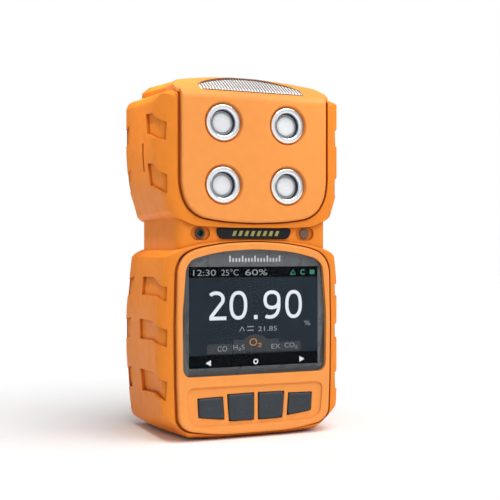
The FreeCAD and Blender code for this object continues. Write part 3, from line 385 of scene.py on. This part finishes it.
LOOKS = {
    "front_shell": "orange_case", "rear_shell": "orange_case", "case_gasket": "seal_rubber",
    "sensor_cover": "orange_panel", "fascia": "orange_panel", "nameplate": "black_gloss",
    "inlet_rings": "chrome", "dust_filters": "filter_disc", "inlet_seals": "seal_foam",
    "sensor_holder": "black_moulded", "sensor_oxygen": "cell_white", "sensor_combustible": "tin",
    "sensor_carbon_monoxide": "cell_blue", "sensor_hydrogen_sulfide": "cell_yellow",
    "sensor_board": "board", "sensor_board_parts": "black_moulded", "sensor_board_screws": "steel",
    "cover_screws": "steel", "board_ribbon": "polyimide", "alarm_lens": "alarm_lens",
    "alarm_led_board": "board", "alarm_leds": "led_body", "display_window": "window",
    "display_mask": "mask_grey", "display_gasket": "seal_foam", "lcd_panel": "screen_back",
    "backlight_frame": "tin", "light_guide": "acrylic", "lcd_flex": "polyimide",
    "keypad_retainer": "black_moulded", "button_left": "button_rubber", "button_power": "button_rubber",
    "button_ok": "button_rubber", "button_right": "button_rubber", "button_switches": "black_moulded",
    "main_board": "board", "main_board_parts": "black_moulded", "main_board_screws": "steel",
    "charge_board": "board", "charge_socket": "tin", "port_cover": "orange_case", "port_pin": "steel",
    "sound_port_ring": "black_moulded", "sound_mesh": "port_mesh", "buzzer": "black_moulded",
    "indicator_lens": "indicator", "battery_pack": "battery_sleeve", "battery_pads": "seal_foam",
    "battery_bracket": "tin", "vibration_motor": "tin", "vibration_weight": "dark_steel",
    "case_screws": "dark_steel", "case_inserts": "brass", "clip_base": "steel", "clip_lever": "steel",
    "clip_pin": "steel", "clip_spring": "dark_steel", "clip_screws": "dark_steel",
}
for node_name, look in LOOKS.items():
    slots = nodes[node_name].data.materials
    slots.clear()
    slots.append(M[look])


# ------------------------------------------------------------------ shapes

def piece(name, verts, faces, body, look, slot, smooth=True):
    """A mesh piece from points in millimetres."""
    mesh = bpy.data.meshes.new(name)
    mesh.from_pydata([tuple(c * MM for c in v) for v in verts], [], faces)
    mesh.update()
    for face in mesh.polygons:
        face.use_smooth = smooth
    obj = bpy.data.objects.new(name, mesh)
    scene.collection.objects.link(obj)
    work = bmesh.new()
    work.from_mesh(mesh)
    bmesh.ops.recalc_face_normals(work, faces=work.faces)
    work.to_mesh(mesh)
    work.free()
    mesh.materials.append(M[look])
    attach(obj, body)
    return obj


def lathe(profile, x, z, steps=72):
    """Points and faces of a closed profile of (radius, y) turned about the line along Y at x, z."""
    verts = []
    faces = []
    for radius, y in profile:
        for i in range(steps):
            a = 2 * math.pi * i / steps
            verts.append((x + radius * math.cos(a), y, z + radius * math.sin(a)))
    rows = len(profile)
    for row in range(rows):
        nxt = (row + 1) % rows
        for i in range(steps):
            j = (i + 1) % steps
            faces.append((row * steps + i, row * steps + j, nxt * steps + j, nxt * steps + i))
    return verts, faces


def joined(parts):
    """Several (verts, faces) as one."""
    verts = []
    faces = []
    for part_verts, part_faces in parts:
        base = len(verts)
        verts += part_verts
        faces += [tuple(base + i for i in face) for face in part_faces]
    return verts, faces


def arc_points(cx, cy, radius, start, end, count):
    """(radius, y) points of an arc for lathe profiles, angles in degrees."""
    found = []
    for i in range(count + 1):
        a = math.radians(start + (end - start) * i / count)
        found.append((cx + radius * math.cos(a), cy + radius * math.sin(a)))
    return found


def round_corners(points, radius, count):
    """The closed outline of (x, z) points, each corner rounded in count steps."""
    found = []
    n = len(points)
    for i in range(n):
        before = Vector(points[i - 1])
        here = Vector(points[i])
        after = Vector(points[(i + 1) % n])
        into = (here - before).normalized()
        out = (after - here).normalized()
        turn = into.angle(out)
        longest = 0.45 * min((here - before).length, (after - here).length)
        reach = min(radius * math.tan(turn / 2), longest)
        start = here - into * reach
        end = here + out * reach
        for k in range(count + 1):
            t = k / count
            p = start * (1 - t) ** 2 + here * 2 * t * (1 - t) + end * t ** 2
            found.append((p.x, p.y))
    return found


def inset_outline(points, amount):
    """A convex outline, given either way round, moved inwards by amount."""
    cx = sum(p[0] for p in points) / len(points)
    cz = sum(p[1] for p in points) / len(points)
    found = []
    n = len(points)
    for i in range(n):
        a = Vector(points[i - 1])
        b = Vector(points[(i + 1) % n])
        along = (b - a).normalized()
        side = Vector((-along.y, along.x))
        here = Vector(points[i])
        if side.dot(Vector((cx, cz)) - here) < 0:
            side = -side
        found.append(tuple(here + side * amount))
    return found


KEY_CORNER = 1.2            # radius of a key's corners
CORNER_STEPS = 8


def cap_shape(points, levels):
    """A crowned key: the rounded outline stepped through (inset, y) levels, closed at both ends.

    Small insets move the outline inwards. Beyond 0.4 of the corner radius it shrinks towards the
    middle instead, so that it never crosses itself.
    """
    outline = round_corners(points, KEY_CORNER, CORNER_STEPS)
    verts = []
    faces = []
    count = len(outline)
    cx = sum(p[0] for p in points) / len(points)
    cz = sum(p[1] for p in points) / len(points)
    narrow = min(abs(x - cx) + abs(z - cz) for x, z in outline)
    for inset, y in levels:
        pull = min(inset, 0.4 * KEY_CORNER)
        scale = 1 - (inset - pull) / narrow
        for x, z in inset_outline(outline, pull) if pull else outline:
            verts.append((cx + (x - cx) * scale, y, cz + (z - cz) * scale))
    for row in range(len(levels) - 1):
        for i in range(count):
            j = (i + 1) % count
            faces.append((row * count + i, row * count + j, (row + 1) * count + j, (row + 1) * count + i))
    faces.append(tuple(range(count)))
    faces.append(tuple(range((len(levels) - 1) * count, len(levels) * count)))
    return verts, faces


# ------------------------------------------------------------------ gas inlets

PORTS = [(-12.4, 111.3), (12.4, 111.3), (-12.4, 89.4), (12.4, 89.4)]
SEAT_Y = -19.3              # where the rings sit in the cover
BORE = 4.5                  # radius of a ring's opening
LIP_Y = -21.75              # its inner lip

ring_profile = [(5.0, SEAT_Y), (5.0, -21.4), (6.42, -21.42)]
ring_profile += arc_points(5.9, -22.02, 0.58, 0, -90, 8)
ring_profile += [(5.5, -22.66)] + arc_points(5.15, -22.1, 0.55, -90, -180, 8)
ring_profile += [(BORE, LIP_Y), (BORE, SEAT_Y)]
bore_profile = [(BORE, LIP_Y), (4.42, -21.6), (4.4, -19.78), (3.2, -19.76), (3.2, SEAT_Y)]
bore_profile += [(4.9, SEAT_Y), (4.9, -21.6)]
inlet = piece("inlet_ring_set", *joined([lathe(ring_profile, x, z) for x, z in PORTS]),
              "case", "chrome", "chrome")
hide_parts("inlet_rings")
# The bore walls are painted near-black navy for the shade inside each inlet.
piece("inlet_bore_set", *joined([lathe(bore_profile, x, z) for x, z in PORTS]),
      "case", "bore_black", "chrome")

# A flange with a low dome on it. The axis is left open by a hair, so no face has zero area.
DISC_BACK = -19.8
AXIS = 0.02
disc_profile = [(4.3, DISC_BACK), (4.3, -20.2), (4.2, -20.3), (3.74, -20.32), (3.62, -20.4)]
disc_profile += [(3.6, -20.5), (3.54, -20.6), (3.38, -20.7), (3.1, -20.76), (2.5, -20.82)]
disc_profile += [(1.7, -20.86), (1.0, -20.88), (0.4, -20.89), (AXIS, -20.89), (AXIS, DISC_BACK)]
filters = piece("dust_filter_set", *joined([lathe(disc_profile, x, z, 56) for x, z in PORTS]),
                "case", "filter_disc", "filter_white")
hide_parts("dust_filters")


# ------------------------------------------------------------------ alarm lens

# The lens lies on the head's slope, which starts at SLOPE_Y, SLOPE_Z.
SLOPE_Y, SLOPE_Z = -23.0, 121.2
SLOPE_UP, SLOPE_BACK = 8.3, 13.0
SLOPE_LENGTH = math.hypot(SLOPE_UP, SLOPE_BACK)
OUT_Y, OUT_Z = -SLOPE_UP / SLOPE_LENGTH, SLOPE_BACK / SLOPE_LENGTH
LENS_HALF = 19.9            # half its length
LENS_LOW = 123.18           # height of its straight lower edge
LENS_TOP = 129.08           # height of its arched edge in the middle
LENS_ARCH = 52.0            # radius of that arch
TOP_LIMIT = 129.42          # nothing stands above the CAD head


def slope_y(z):
    return SLOPE_Y + (z - SLOPE_Z) * SLOPE_BACK / SLOPE_UP


def arch_drop(x):
    """How far the arched edge lies below its middle at x."""
    return LENS_ARCH - math.sqrt(LENS_ARCH * LENS_ARCH - x * x)


def above_slope(x, z, lift):
    """The point lift above the slope, square to it."""
    return x, slope_y(z) + OUT_Y * lift, z + OUT_Z * lift


def alarm_lens():
    """A cushion-edged lens with real ribs, closed by walls and a flat back."""
    columns = 640
    rows = 12
    depth = 1.6
    verts = []
    faces = []
    for c in range(columns + 1):
        x = -LENS_HALF + 2 * LENS_HALF * c / columns
        high = LENS_TOP - arch_drop(x)
        ends = min(1.0, (LENS_HALF - abs(x)) / 1.2)
        ripple = 0.5 + 0.5 * math.cos(2 * math.pi * x / LENS_RIB)
        for r in range(rows + 1):
            t = r / rows
            rim = min(1.0, min(t, 1 - t) * 7.0, ends)
            cushion = -0.25 + 0.33 * math.sqrt(max(rim, 0.0))
            ribs = 0.24 * (ripple ** 0.7) * min(1.0, rim * 1.2)
            verts.append(above_slope(x, LENS_LOW + (high - LENS_LOW) * t, cushion + ribs))
    for c in range(columns):
        for r in range(rows):
            a = c * (rows + 1) + r
            faces.append((a, a + 1, a + rows + 2, a + rows + 1))
    top = len(verts)
    border = [c * (rows + 1) for c in range(columns + 1)]
    border += [columns * (rows + 1) + r for r in range(1, rows + 1)]
    border += [c * (rows + 1) + rows for c in range(columns - 1, -1, -1)]
    border += [r for r in range(rows - 1, 0, -1)]
    for index in border:
        x, y, z = verts[index]
        verts.append((x, y - OUT_Y * depth, z - OUT_Z * depth))
    count = len(border)
    for i in range(count):
        j = (i + 1) % count
        faces.append((border[i], border[j], top + j, top + i))
    faces.append(tuple(range(top, top + count)))
    return verts, faces


def lens_edge_shade(edge, full):
    """A dark brown strip of full width along a lens edge, whose height at x is edge(x): painted shade along
    that edge.
    """
    half = 19.6
    columns = 96
    section = ((0.0, -0.3), (0.0, 0.12), (0.5, 0.18), (1.0, 0.12), (1.0, -0.3))
    verts = []
    faces = []
    for c in range(columns + 1):
        x = -half + 2 * half * c / columns
        wide = full * min(1.0, (20.4 - abs(x)) / 3.0)
        for along, lift in section:
            z = min(edge(x) + (along * wide - 0.05) * SLOPE_UP / SLOPE_LENGTH, TOP_LIMIT)
            verts.append(above_slope(x, z, lift))
    for c in range(columns):
        for r in range(5):
            a = c * 5 + r
            b = c * 5 + (r + 1) % 5
            faces.append((a, b, b + 5, a + 5))
    faces.append(tuple(range(5)))
    faces.append(tuple(range(columns * 5, columns * 5 + 5)))
    return verts, faces


# Painted shade along the lens's arched edge and its straight lower edge.
rear_edge_shade = lens_edge_shade(lambda x: 129.1 - arch_drop(x), 1.15)
front_edge_shade = lens_edge_shade(lambda x: 122.8, 0.55)
piece("alarm_lens_edge_shade", *joined([rear_edge_shade, front_edge_shade]), "case", "seal_brown", "seal_black")
lens = piece("alarm_light_lens", *alarm_lens(), "case", "alarm_lens", "lens_clear")
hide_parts("alarm_lens")


# ------------------------------------------------------------------ keys

KEYS = {
    "button_left": [(-21.6, 8.3), (-12.2, 7.1), (-12.8, 14.9), (-22.0, 14.7)],
    "button_power": [(-10.2, 6.4), (-0.9, 6.3), (-0.9, 15.7), (-10.9, 15.6)],
    "button_ok": [(0.9, 6.3), (10.2, 6.4), (10.9, 15.6), (0.9, 15.7)],
    "button_right": [(12.2, 7.1), (21.6, 8.3), (22.0, 14.7), (12.8, 14.9)],
}
KEY_FACE_Y = -22.93         # the middle of a key's slightly dished face
KEY_LEVELS = [
    (0.0, -20.5), (0.0, -22.45), (0.06, -22.65), (0.18, -22.85), (0.38, -23.0), (0.65, -23.07),
    (1.1, -23.06), (1.8, -23.0), (2.6, -22.95), (3.2, KEY_FACE_Y),
]
FLANGE_SCALE = 1.12         # the flange under a key, beside its cap
FLANGE_LEVELS = [(0.0, -20.48), (0.0, -19.78)]
STEM = [(1.5, -20.6), (1.5, -18.45), (1.35, -18.4), (AXIS, -18.4), (AXIS, -20.6)]


def strip(points, width, y, thick=0.04):
    """A flat band along (x, z) points, standing thick in front of y."""
    left = []
    right = []
    n = len(points)
    for i in range(n):
        a = Vector(points[max(i - 1, 0)])
        b = Vector(points[min(i + 1, n - 1)])
        along = (b - a).normalized()
        side = Vector((-along.y, along.x)) * width / 2
        here = Vector(points[i])
        left.append(here + side)
        right.append(here - side)
    verts = []
    for level in (y, y - thick):
        verts += [(p.x, level, p.y) for p in left] + [(p.x, level, p.y) for p in right]
    faces = []
    for i in range(n - 1):
        faces.append((i, i + 1, n + i + 1, n + i))
        faces.append((2 * n + i, 3 * n + i, 3 * n + i + 1, 2 * n + i + 1))
        faces.append((i, 2 * n + i, 2 * n + i + 1, i + 1))
        faces.append((n + i, n + i + 1, 3 * n + i + 1, 3 * n + i))
    faces.append((0, n, 3 * n, 2 * n))
    faces.append((n - 1, 3 * n - 1, 4 * n - 1, 2 * n - 1))
    return verts, faces


def turn_points(cx, cz, radius, start, end, count=24):
    """(x, z) points of an arc, angles in degrees."""
    found = []
    for i in range(count + 1):
        a = math.radians(start + (end - start) * i / count)
        found.append((cx + radius * math.cos(a), cz + radius * math.sin(a)))
    return found


def plate(points, y, thick=0.04):
    """A flat closed shape from (x, z) points, standing thick in front of y."""
    n = len(points)
    verts = [(x, y, z) for x, z in points] + [(x, y - thick, z) for x, z in points]
    faces = [tuple(range(n)), tuple(range(n, 2 * n))]
    faces += [(i, (i + 1) % n, n + (i + 1) % n, n + i) for i in range(n)]
    return verts, faces


def key_icon(name, x, z):
    """An arrow, the usual power symbol, or a dot in a ring, printed on a key."""
    y = KEY_FACE_Y
    if name == "button_power":
        ring = strip(turn_points(x, z - 0.2, 1.75, 125, 415, 28), 0.5, y)
        return joined([ring, strip([(x, z + 0.1), (x, z + 2.2)], 0.5, y)])
    if name == "button_ok":
        ring = strip(turn_points(x, z, 1.9, 0, 360, 32), 0.5, y)
        return joined([ring, plate(turn_points(x, z, 0.7, 0, 350, 20), y)])
    side = -1 if name == "button_left" else 1
    head = plate([(x + side * 2.0, z), (x - side * 0.1, z + 1.6), (x - side * 0.1, z - 1.6)], y)
    return joined([head, strip([(x - side * 0.1, z), (x - side * 2.0, z)], 0.7, y)])


def triangulate_ends(obj):
    """Splits a key's many-cornered end faces, which shade unevenly whole."""
    work = bmesh.new()
    work.from_mesh(obj.data)
    bmesh.ops.triangulate(work, faces=[f for f in work.faces if len(f.verts) > 10])
    work.to_mesh(obj.data)
    work.free()
    for face in obj.data.polygons:
        face.use_smooth = True


for key, corners in KEYS.items():
    cap = piece(key + "_cap", *cap_shape(corners, KEY_LEVELS), key, "button_rubber", "button_grey")
    triangulate_ends(cap)
    mx = sum(p[0] for p in corners) / 4
    mz = sum(p[1] for p in corners) / 4
    wider = [(mx + (px - mx) * FLANGE_SCALE, mz + (pz - mz) * FLANGE_SCALE) for px, pz in corners]
    plunger = joined([lathe(STEM, mx, mz, 32), cap_shape(wider, FLANGE_LEVELS)])
    piece(key + "_plunger", *plunger, key, "button_rubber", "button_grey", smooth=False)
    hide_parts(key)
    piece(key + "_icon", *key_icon(key, mx, mz), key, "icon_print", "button_grey", smooth=False)


# ------------------------------------------------------------------ screen

SCREEN_Y = -21.255          # just in front of the display's dark pane, behind the window
MARK_Y = SCREEN_Y - 0.01    # marks drawn with flat shapes
SCREEN_HALF = 25.2
FONT_SCALE = 1.38           # font size for a given height of digits


def digits(text, x, z, height, width):
    """Digits or symbols of Blender's own font as flat outlines, x being their middle."""
    curve = bpy.data.curves.new("digits", "FONT")
    curve.body = text
    curve.size = height * FONT_SCALE
    curve.align_x = "CENTER"
    curve.resolution_u = 6
    holder = bpy.data.objects.new("digits", curve)
    scene.collection.objects.link(holder)
    mesh = bpy.data.meshes.new_from_object(
        holder.evaluated_get(bpy.context.evaluated_depsgraph_get()))
    bpy.data.objects.remove(holder)
    xs = [v.co.x for v in mesh.vertices]
    squeeze = width / (max(xs) - min(xs))
    middle = (max(xs) + min(xs)) / 2
    verts = [(x + (v.co.x - middle) * squeeze, SCREEN_Y - 0.02, z + v.co.y) for v in mesh.vertices]
    faces = [tuple(p.vertices) for p in mesh.polygons]
    bpy.data.meshes.remove(mesh)
    return verts, faces


def flat_strip(points, width):
    """A band without thickness along (x, z) points."""
    verts, _ = strip(points, width, MARK_Y, 0.001)
    n = len(points)
    return verts, [(2 * n + i, 3 * n + i, 3 * n + i + 1, 2 * n + i + 1) for i in range(n - 1)]


def flat_plate(points):
    return plate(points, MARK_Y, 0.001)


def loop(cx, cz, ax, az, start, end, count=40, square=2.35):
    """Points of a slightly squared oval, square being 2 for a true one, angles in degrees."""
    found = []
    for i in range(count + 1):
        a = math.radians(start + (end - start) * i / count)
        c, n = math.cos(a), math.sin(a)
        k = (abs(c) ** square + abs(n) ** square) ** (-1 / square)
        found.append((cx + ax * k * c, cz + az * k * n))
    return found


def digit_strokes(mark, x, z, wide, high, pen):
    """A 0, 2, 9 or dot drawn with a pen of one width, in a box whose lower left corner is x, z."""
    mid = x + wide / 2
    rx = (wide - pen) / 2
    if mark == "0":
        lines = [loop(mid, z + high / 2, rx, (high - pen) / 2, 0, 360)]
    elif mark == "2":
        top = loop(mid - 0.1 * wide, z + high * 0.72, rx * 1.02, high * 0.28 - pen / 2, 142, -38, 30, 2.1)
        foot = [(x + pen * 0.55, z + pen * 0.9), (x + pen * 0.55, z + pen / 2)]
        lines = [top + foot, [(x + pen * 0.1, z + pen / 2), (x + wide, z + pen / 2)]]
    elif mark == "9":
        ring = loop(mid, z + high * 0.665, rx, high * 0.335 - pen / 2, 0, 360)
        tail = loop(mid - 0.12 * wide, z + high * 0.5, rx + 0.12 * wide, high * 0.5 - pen / 2, 15, -118, 30)
        lines = [ring, tail]
    else:
        lines = [[(x, z + pen * 0.6), (x + wide, z + pen * 0.6)]]
        pen = wide * 1.05
    return [flat_strip(line, pen) for line in lines]


def panel(x0, x1, z0, z1, y=SCREEN_Y):
    return [(x0, y, z0), (x1, y, z0), (x1, y, z1), (x0, y, z1)], [(0, 1, 2, 3)]


def fan(cx, cz, inner, outer, start, end):
    """A ring sector on the screen plane."""
    a = turn_points(cx, cz, outer, start, end, 30)
    b = turn_points(cx, cz, inner, end, start, 30)
    verts = [(x, SCREEN_Y - 0.004, z) for x, z in a + b]
    count = len(a)
    faces = [(i, i + 1, 2 * count - 2 - i, 2 * count - 1 - i) for i in range(count - 1)]
    return verts, faces


def screen_piece(name, parts, look):
    """A flat piece of the display's picture, facing the front."""
    obj = piece(name, *joined(parts), "case", look, "lcd_dark", smooth=False)
    for polygon in obj.data.polygons:
        if polygon.normal.y > 0:
            polygon.flip()


screen_piece("screen_bars", [
    panel(-SCREEN_HALF, SCREEN_HALF, 56.8, 60.75), panel(-SCREEN_HALF, SCREEN_HALF, 24.9, 29.6),
], "screen_bar")

READING_Z = 41.8
READING_HIGH = 10.2
READING_PEN = 1.28
READING = (("2", -17.4, 6.5), ("0", -9.7, 6.8), (".", -0.3, 1.4), ("9", 3.4, 6.7), ("0", 12.0, 6.7))
reading = []
for mark, x, wide in READING:
    reading += digit_strokes(mark, x, READING_Z, wide, READING_HIGH, READING_PEN)
screen_piece("screen_reading", reading, "screen_white")

screen_piece("screen_status", [
    digits("12:30", -19.1, 57.5, 2.2, 8.4),
    digits("25°C", -9.5, 57.5, 2.2, 6.6),
    digits("60%", 0.6, 57.5, 2.2, 8.6),
], "screen_grey")
screen_piece("screen_arrows", [
    flat_plate([(-18.7, 26.85), (-16.7, 27.9), (-16.7, 25.8)]),
    flat_plate([(19.7, 26.85), (17.7, 27.9), (17.7, 25.8)]),
    flat_strip(turn_points(0.4, 26.7, 0.75, 0, 360, 32), 0.42),
], "screen_white")
screen_piece("screen_details", [
    digits("21.85", 5.0, 37.5, 1.75, 7.4),
    flat_strip([(-5.8, 37.7), (-4.9, 39.2), (-4.0, 37.7)], 0.36),
    flat_strip([(-2.9, 39.2), (-0.4, 39.2)], 0.36),
    flat_strip([(-2.9, 37.9), (-0.4, 37.9)], 0.36),
    digits("%", 20.9, 39.1, 1.7, 2.6),
    digits("CO", -12.4, 30.8, 1.9, 3.6), digits("H₂S", -6.1, 31.2, 1.8, 4.3),
    digits("EX", 8.3, 31.0, 1.8, 3.6), digits("CO₂", 14.3, 31.2, 1.8, 5.2),
], "screen_soft")
screen_piece("screen_gas", [digits("O₂", 0.3, 32.4, 2.7, 4.7)], "screen_orange")
screen_piece("screen_marks", [
    flat_strip([(14.1, 57.7), (15.1, 59.3), (16.1, 57.7), (14.1, 57.7)], 0.42),
    flat_strip(turn_points(19.1, 58.5, 0.8, 40, 320, 20), 0.42),
    flat_plate([(21.9, 57.7), (23.8, 57.7), (23.8, 59.3), (21.9, 59.3)]),
], "screen_green")

DIAL_Y = SCREEN_Y - 0.003
screen_piece("screen_dials", [
    panel(-18.2, -8.6, 30.0, 33.4, DIAL_Y), panel(-8.2, -3.4, 30.0, 34.6, DIAL_Y),
    panel(3.8, 9.6, 30.0, 34.6, DIAL_Y), panel(10.0, 18.2, 30.0, 33.4, DIAL_Y),
    fan(0.3, 29.8, 0.6, 6.6, 10, 170),
], "screen_dim")


# ------------------------------------------------------------------ printed marks

def bars_on_plate():
    """A row of slanted bars, in place of lettering."""
    low, high, slant, wide, pitch = 71.5, 73.3, 0.75, 1.2, 2.35
    bits = []
    for i in range(8):
        x = -8.6 + i * pitch
        outline = [(x, low), (x + wide, low), (x + wide + slant, high), (x + slant, high)]
        bits.append(plate(outline, -20.9, 0.03))
    return joined(bits)


def label_marks():
    """A printed row of upright ticks above the screen, like a scale, in place of lettering."""
    low, half, pitch = 62.3, 0.3, 1.2
    bits = []
    for i in range(17):
        x = -9.6 + pitch * i
        high = low + (2.2 if i % 4 == 0 else 1.3)
        outline = [(x - half, low), (x + half, low), (x + half, high), (x - half, high)]
        bits.append(plate(outline, -21.5, 0.02))
    return joined(bits)


piece("nameplate_bars", *bars_on_plate(), "case", "plate_mark", "black_plate", smooth=False)
piece("bezel_marks", *label_marks(), "case", "label_print", "mask_grey", smooth=False)


# ------------------------------------------------------------------ CAD surfaces

# Weighted normals keep the CAD parts' flat faces flat next to their rounded edges.
for node_name in LOOKS:
    if not nodes[node_name].hide_render:
        even = nodes[node_name].modifiers.new("even_shading", "WEIGHTED_NORMAL")
        even.keep_sharp = True
        even.weight = 80


# ------------------------------------------------------------------ stage

def stage_material(name, colour, rough):
    t = Tree(name)
    t.principled()
    t.link(t.mix(t.ramp(t.noise(3.0, 3.0), 0.0, 1.0), colour, tuple(c * 0.985 for c in colour)),
           t.bsdf.inputs["Base Color"])
    t.link(t.ramp(t.noise(40.0, 3.0), rough, rough + 0.1), t.bsdf.inputs["Roughness"])
    return t.mat


FLOOR_HALF = 12.0
FLOOR_Z = -0.0002
floor_mesh = bpy.data.meshes.new("floor")
floor_corners = [(x * FLOOR_HALF, y * FLOOR_HALF, FLOOR_Z) for x, y in ((-1, -1), (1, -1), (1, 1), (-1, 1))]
floor_mesh.from_pydata(floor_corners, [], [(0, 1, 2, 3)])
floor = bpy.data.objects.new("floor", floor_mesh)
scene.collection.objects.link(floor)
floor_mesh.materials.append(stage_material("floor_white", (0.91, 0.91, 0.91), 0.7))


def studio_world():
    """White to the camera, soft white as light, and to gloss a bright left fading right and behind."""
    world = bpy.data.worlds.new("studio")
    scene.world = world
    world.use_nodes = True
    tree = world.node_tree
    tree.nodes.clear()

    def add(kind):
        return tree.nodes.new(kind)

    def background(strength, colour=(1.0, 1.0, 1.0)):
        node = add("ShaderNodeBackground")
        node.inputs["Color"].default_value = (*colour, 1)
        node.inputs["Strength"].default_value = strength
        return node

    def smooth_range(source, start, end, low, high):
        node = add("ShaderNodeMapRange")
        node.interpolation_type = "SMOOTHSTEP"
        for socket, value in (("From Min", start), ("From Max", end), ("To Min", low), ("To Max", high)):
            node.inputs[socket].default_value = value
        tree.links.new(source, node.inputs["Value"])
        return node.outputs[0]

    def either(factor, first, second):
        node = add("ShaderNodeMixShader")
        for index, source in enumerate((factor, first, second)):
            tree.links.new(source, node.inputs[index])
        return node.outputs[0]

    way = add("ShaderNodeTexCoord")
    split = add("ShaderNodeSeparateXYZ")
    tree.links.new(way.outputs["Generated"], split.inputs[0])
    across = smooth_range(split.outputs[0], 0.25, 0.95, 1.15, 0.06)
    behind = smooth_range(split.outputs[1], -0.05, 0.45, 1.0, 0.12)
    times = add("ShaderNodeMath")
    times.operation = "MULTIPLY"
    tree.links.new(across, times.inputs[0])
    tree.links.new(behind, times.inputs[1])
    shiny = background(1.0, (0.8, 0.8, 0.8))
    tree.links.new(times.outputs[0], shiny.inputs["Strength"])
    rays = add("ShaderNodeLightPath")
    unseen = either(rays.outputs["Is Glossy Ray"], background(0.42, (0.97, 0.985, 1.0)).outputs[0],
                    shiny.outputs[0])
    seen = either(rays.outputs["Is Camera Ray"], unseen, background(1.0).outputs[0])
    tree.links.new(seen, add("ShaderNodeOutputWorld").inputs["Surface"])


studio_world()


def aimed(obj, place, target):
    """Puts a light or the camera at place, looking at target."""
    obj.location = place
    obj.rotation_mode = "QUATERNION"
    obj.rotation_quaternion = (Vector(target) - Vector(place)).to_track_quat("-Z", "Y")
    scene.collection.objects.link(obj)


def light(name, kind, place, target, energy, **settings):
    data = bpy.data.lights.new(name, kind)
    data.energy = energy
    for key, value in settings.items():
        setattr(data, key, value)
    aimed(bpy.data.objects.new(name, data), place, target)


WARM = (1.0, 0.95, 0.72)
light("sky_light", "SUN", (0.22, -0.42, 0.88), (0, 0, 0), 2.8, angle=math.radians(60))
light("left_card", "AREA", (-0.55, -0.35, 0.10), (0, 0, 0.08), 0.08,
      shape="RECTANGLE", size=0.30, size_y=0.40)
light("shoulder_spot", "SPOT", (-0.10, 0.02, 0.36), (-0.030, 0.002, 0.124), 6.0,
      spot_size=math.radians(12), spot_blend=0.9, shadow_soft_size=0.02, color=WARM)
light("corner_spot", "SPOT", (0.10, -0.14, 0.34), (0.027, -0.014, 0.124), 2.6,
      spot_size=math.radians(9), spot_blend=1.0, shadow_soft_size=0.02, color=WARM)

scene.view_settings.view_transform = "Standard"

CAMERA_PLACE = (-0.1362, -0.3378, 0.0665)
CAMERA_AIM = (0.3907, 0.9205, 0.0)          # level, and 23 degrees round from straight ahead
cam_data = bpy.data.cameras.new("camera")
cam_data.lens = 69.5
cam_data.sensor_width = 36.0
cam_data.clip_start = 0.01
cam = bpy.data.objects.new("camera", cam_data)
cam.location = CAMERA_PLACE
cam.rotation_mode = "QUATERNION"
cam.rotation_quaternion = Vector(CAMERA_AIM).to_track_quat("-Z", "Y")
scene.collection.objects.link(cam)
scene.camera = cam
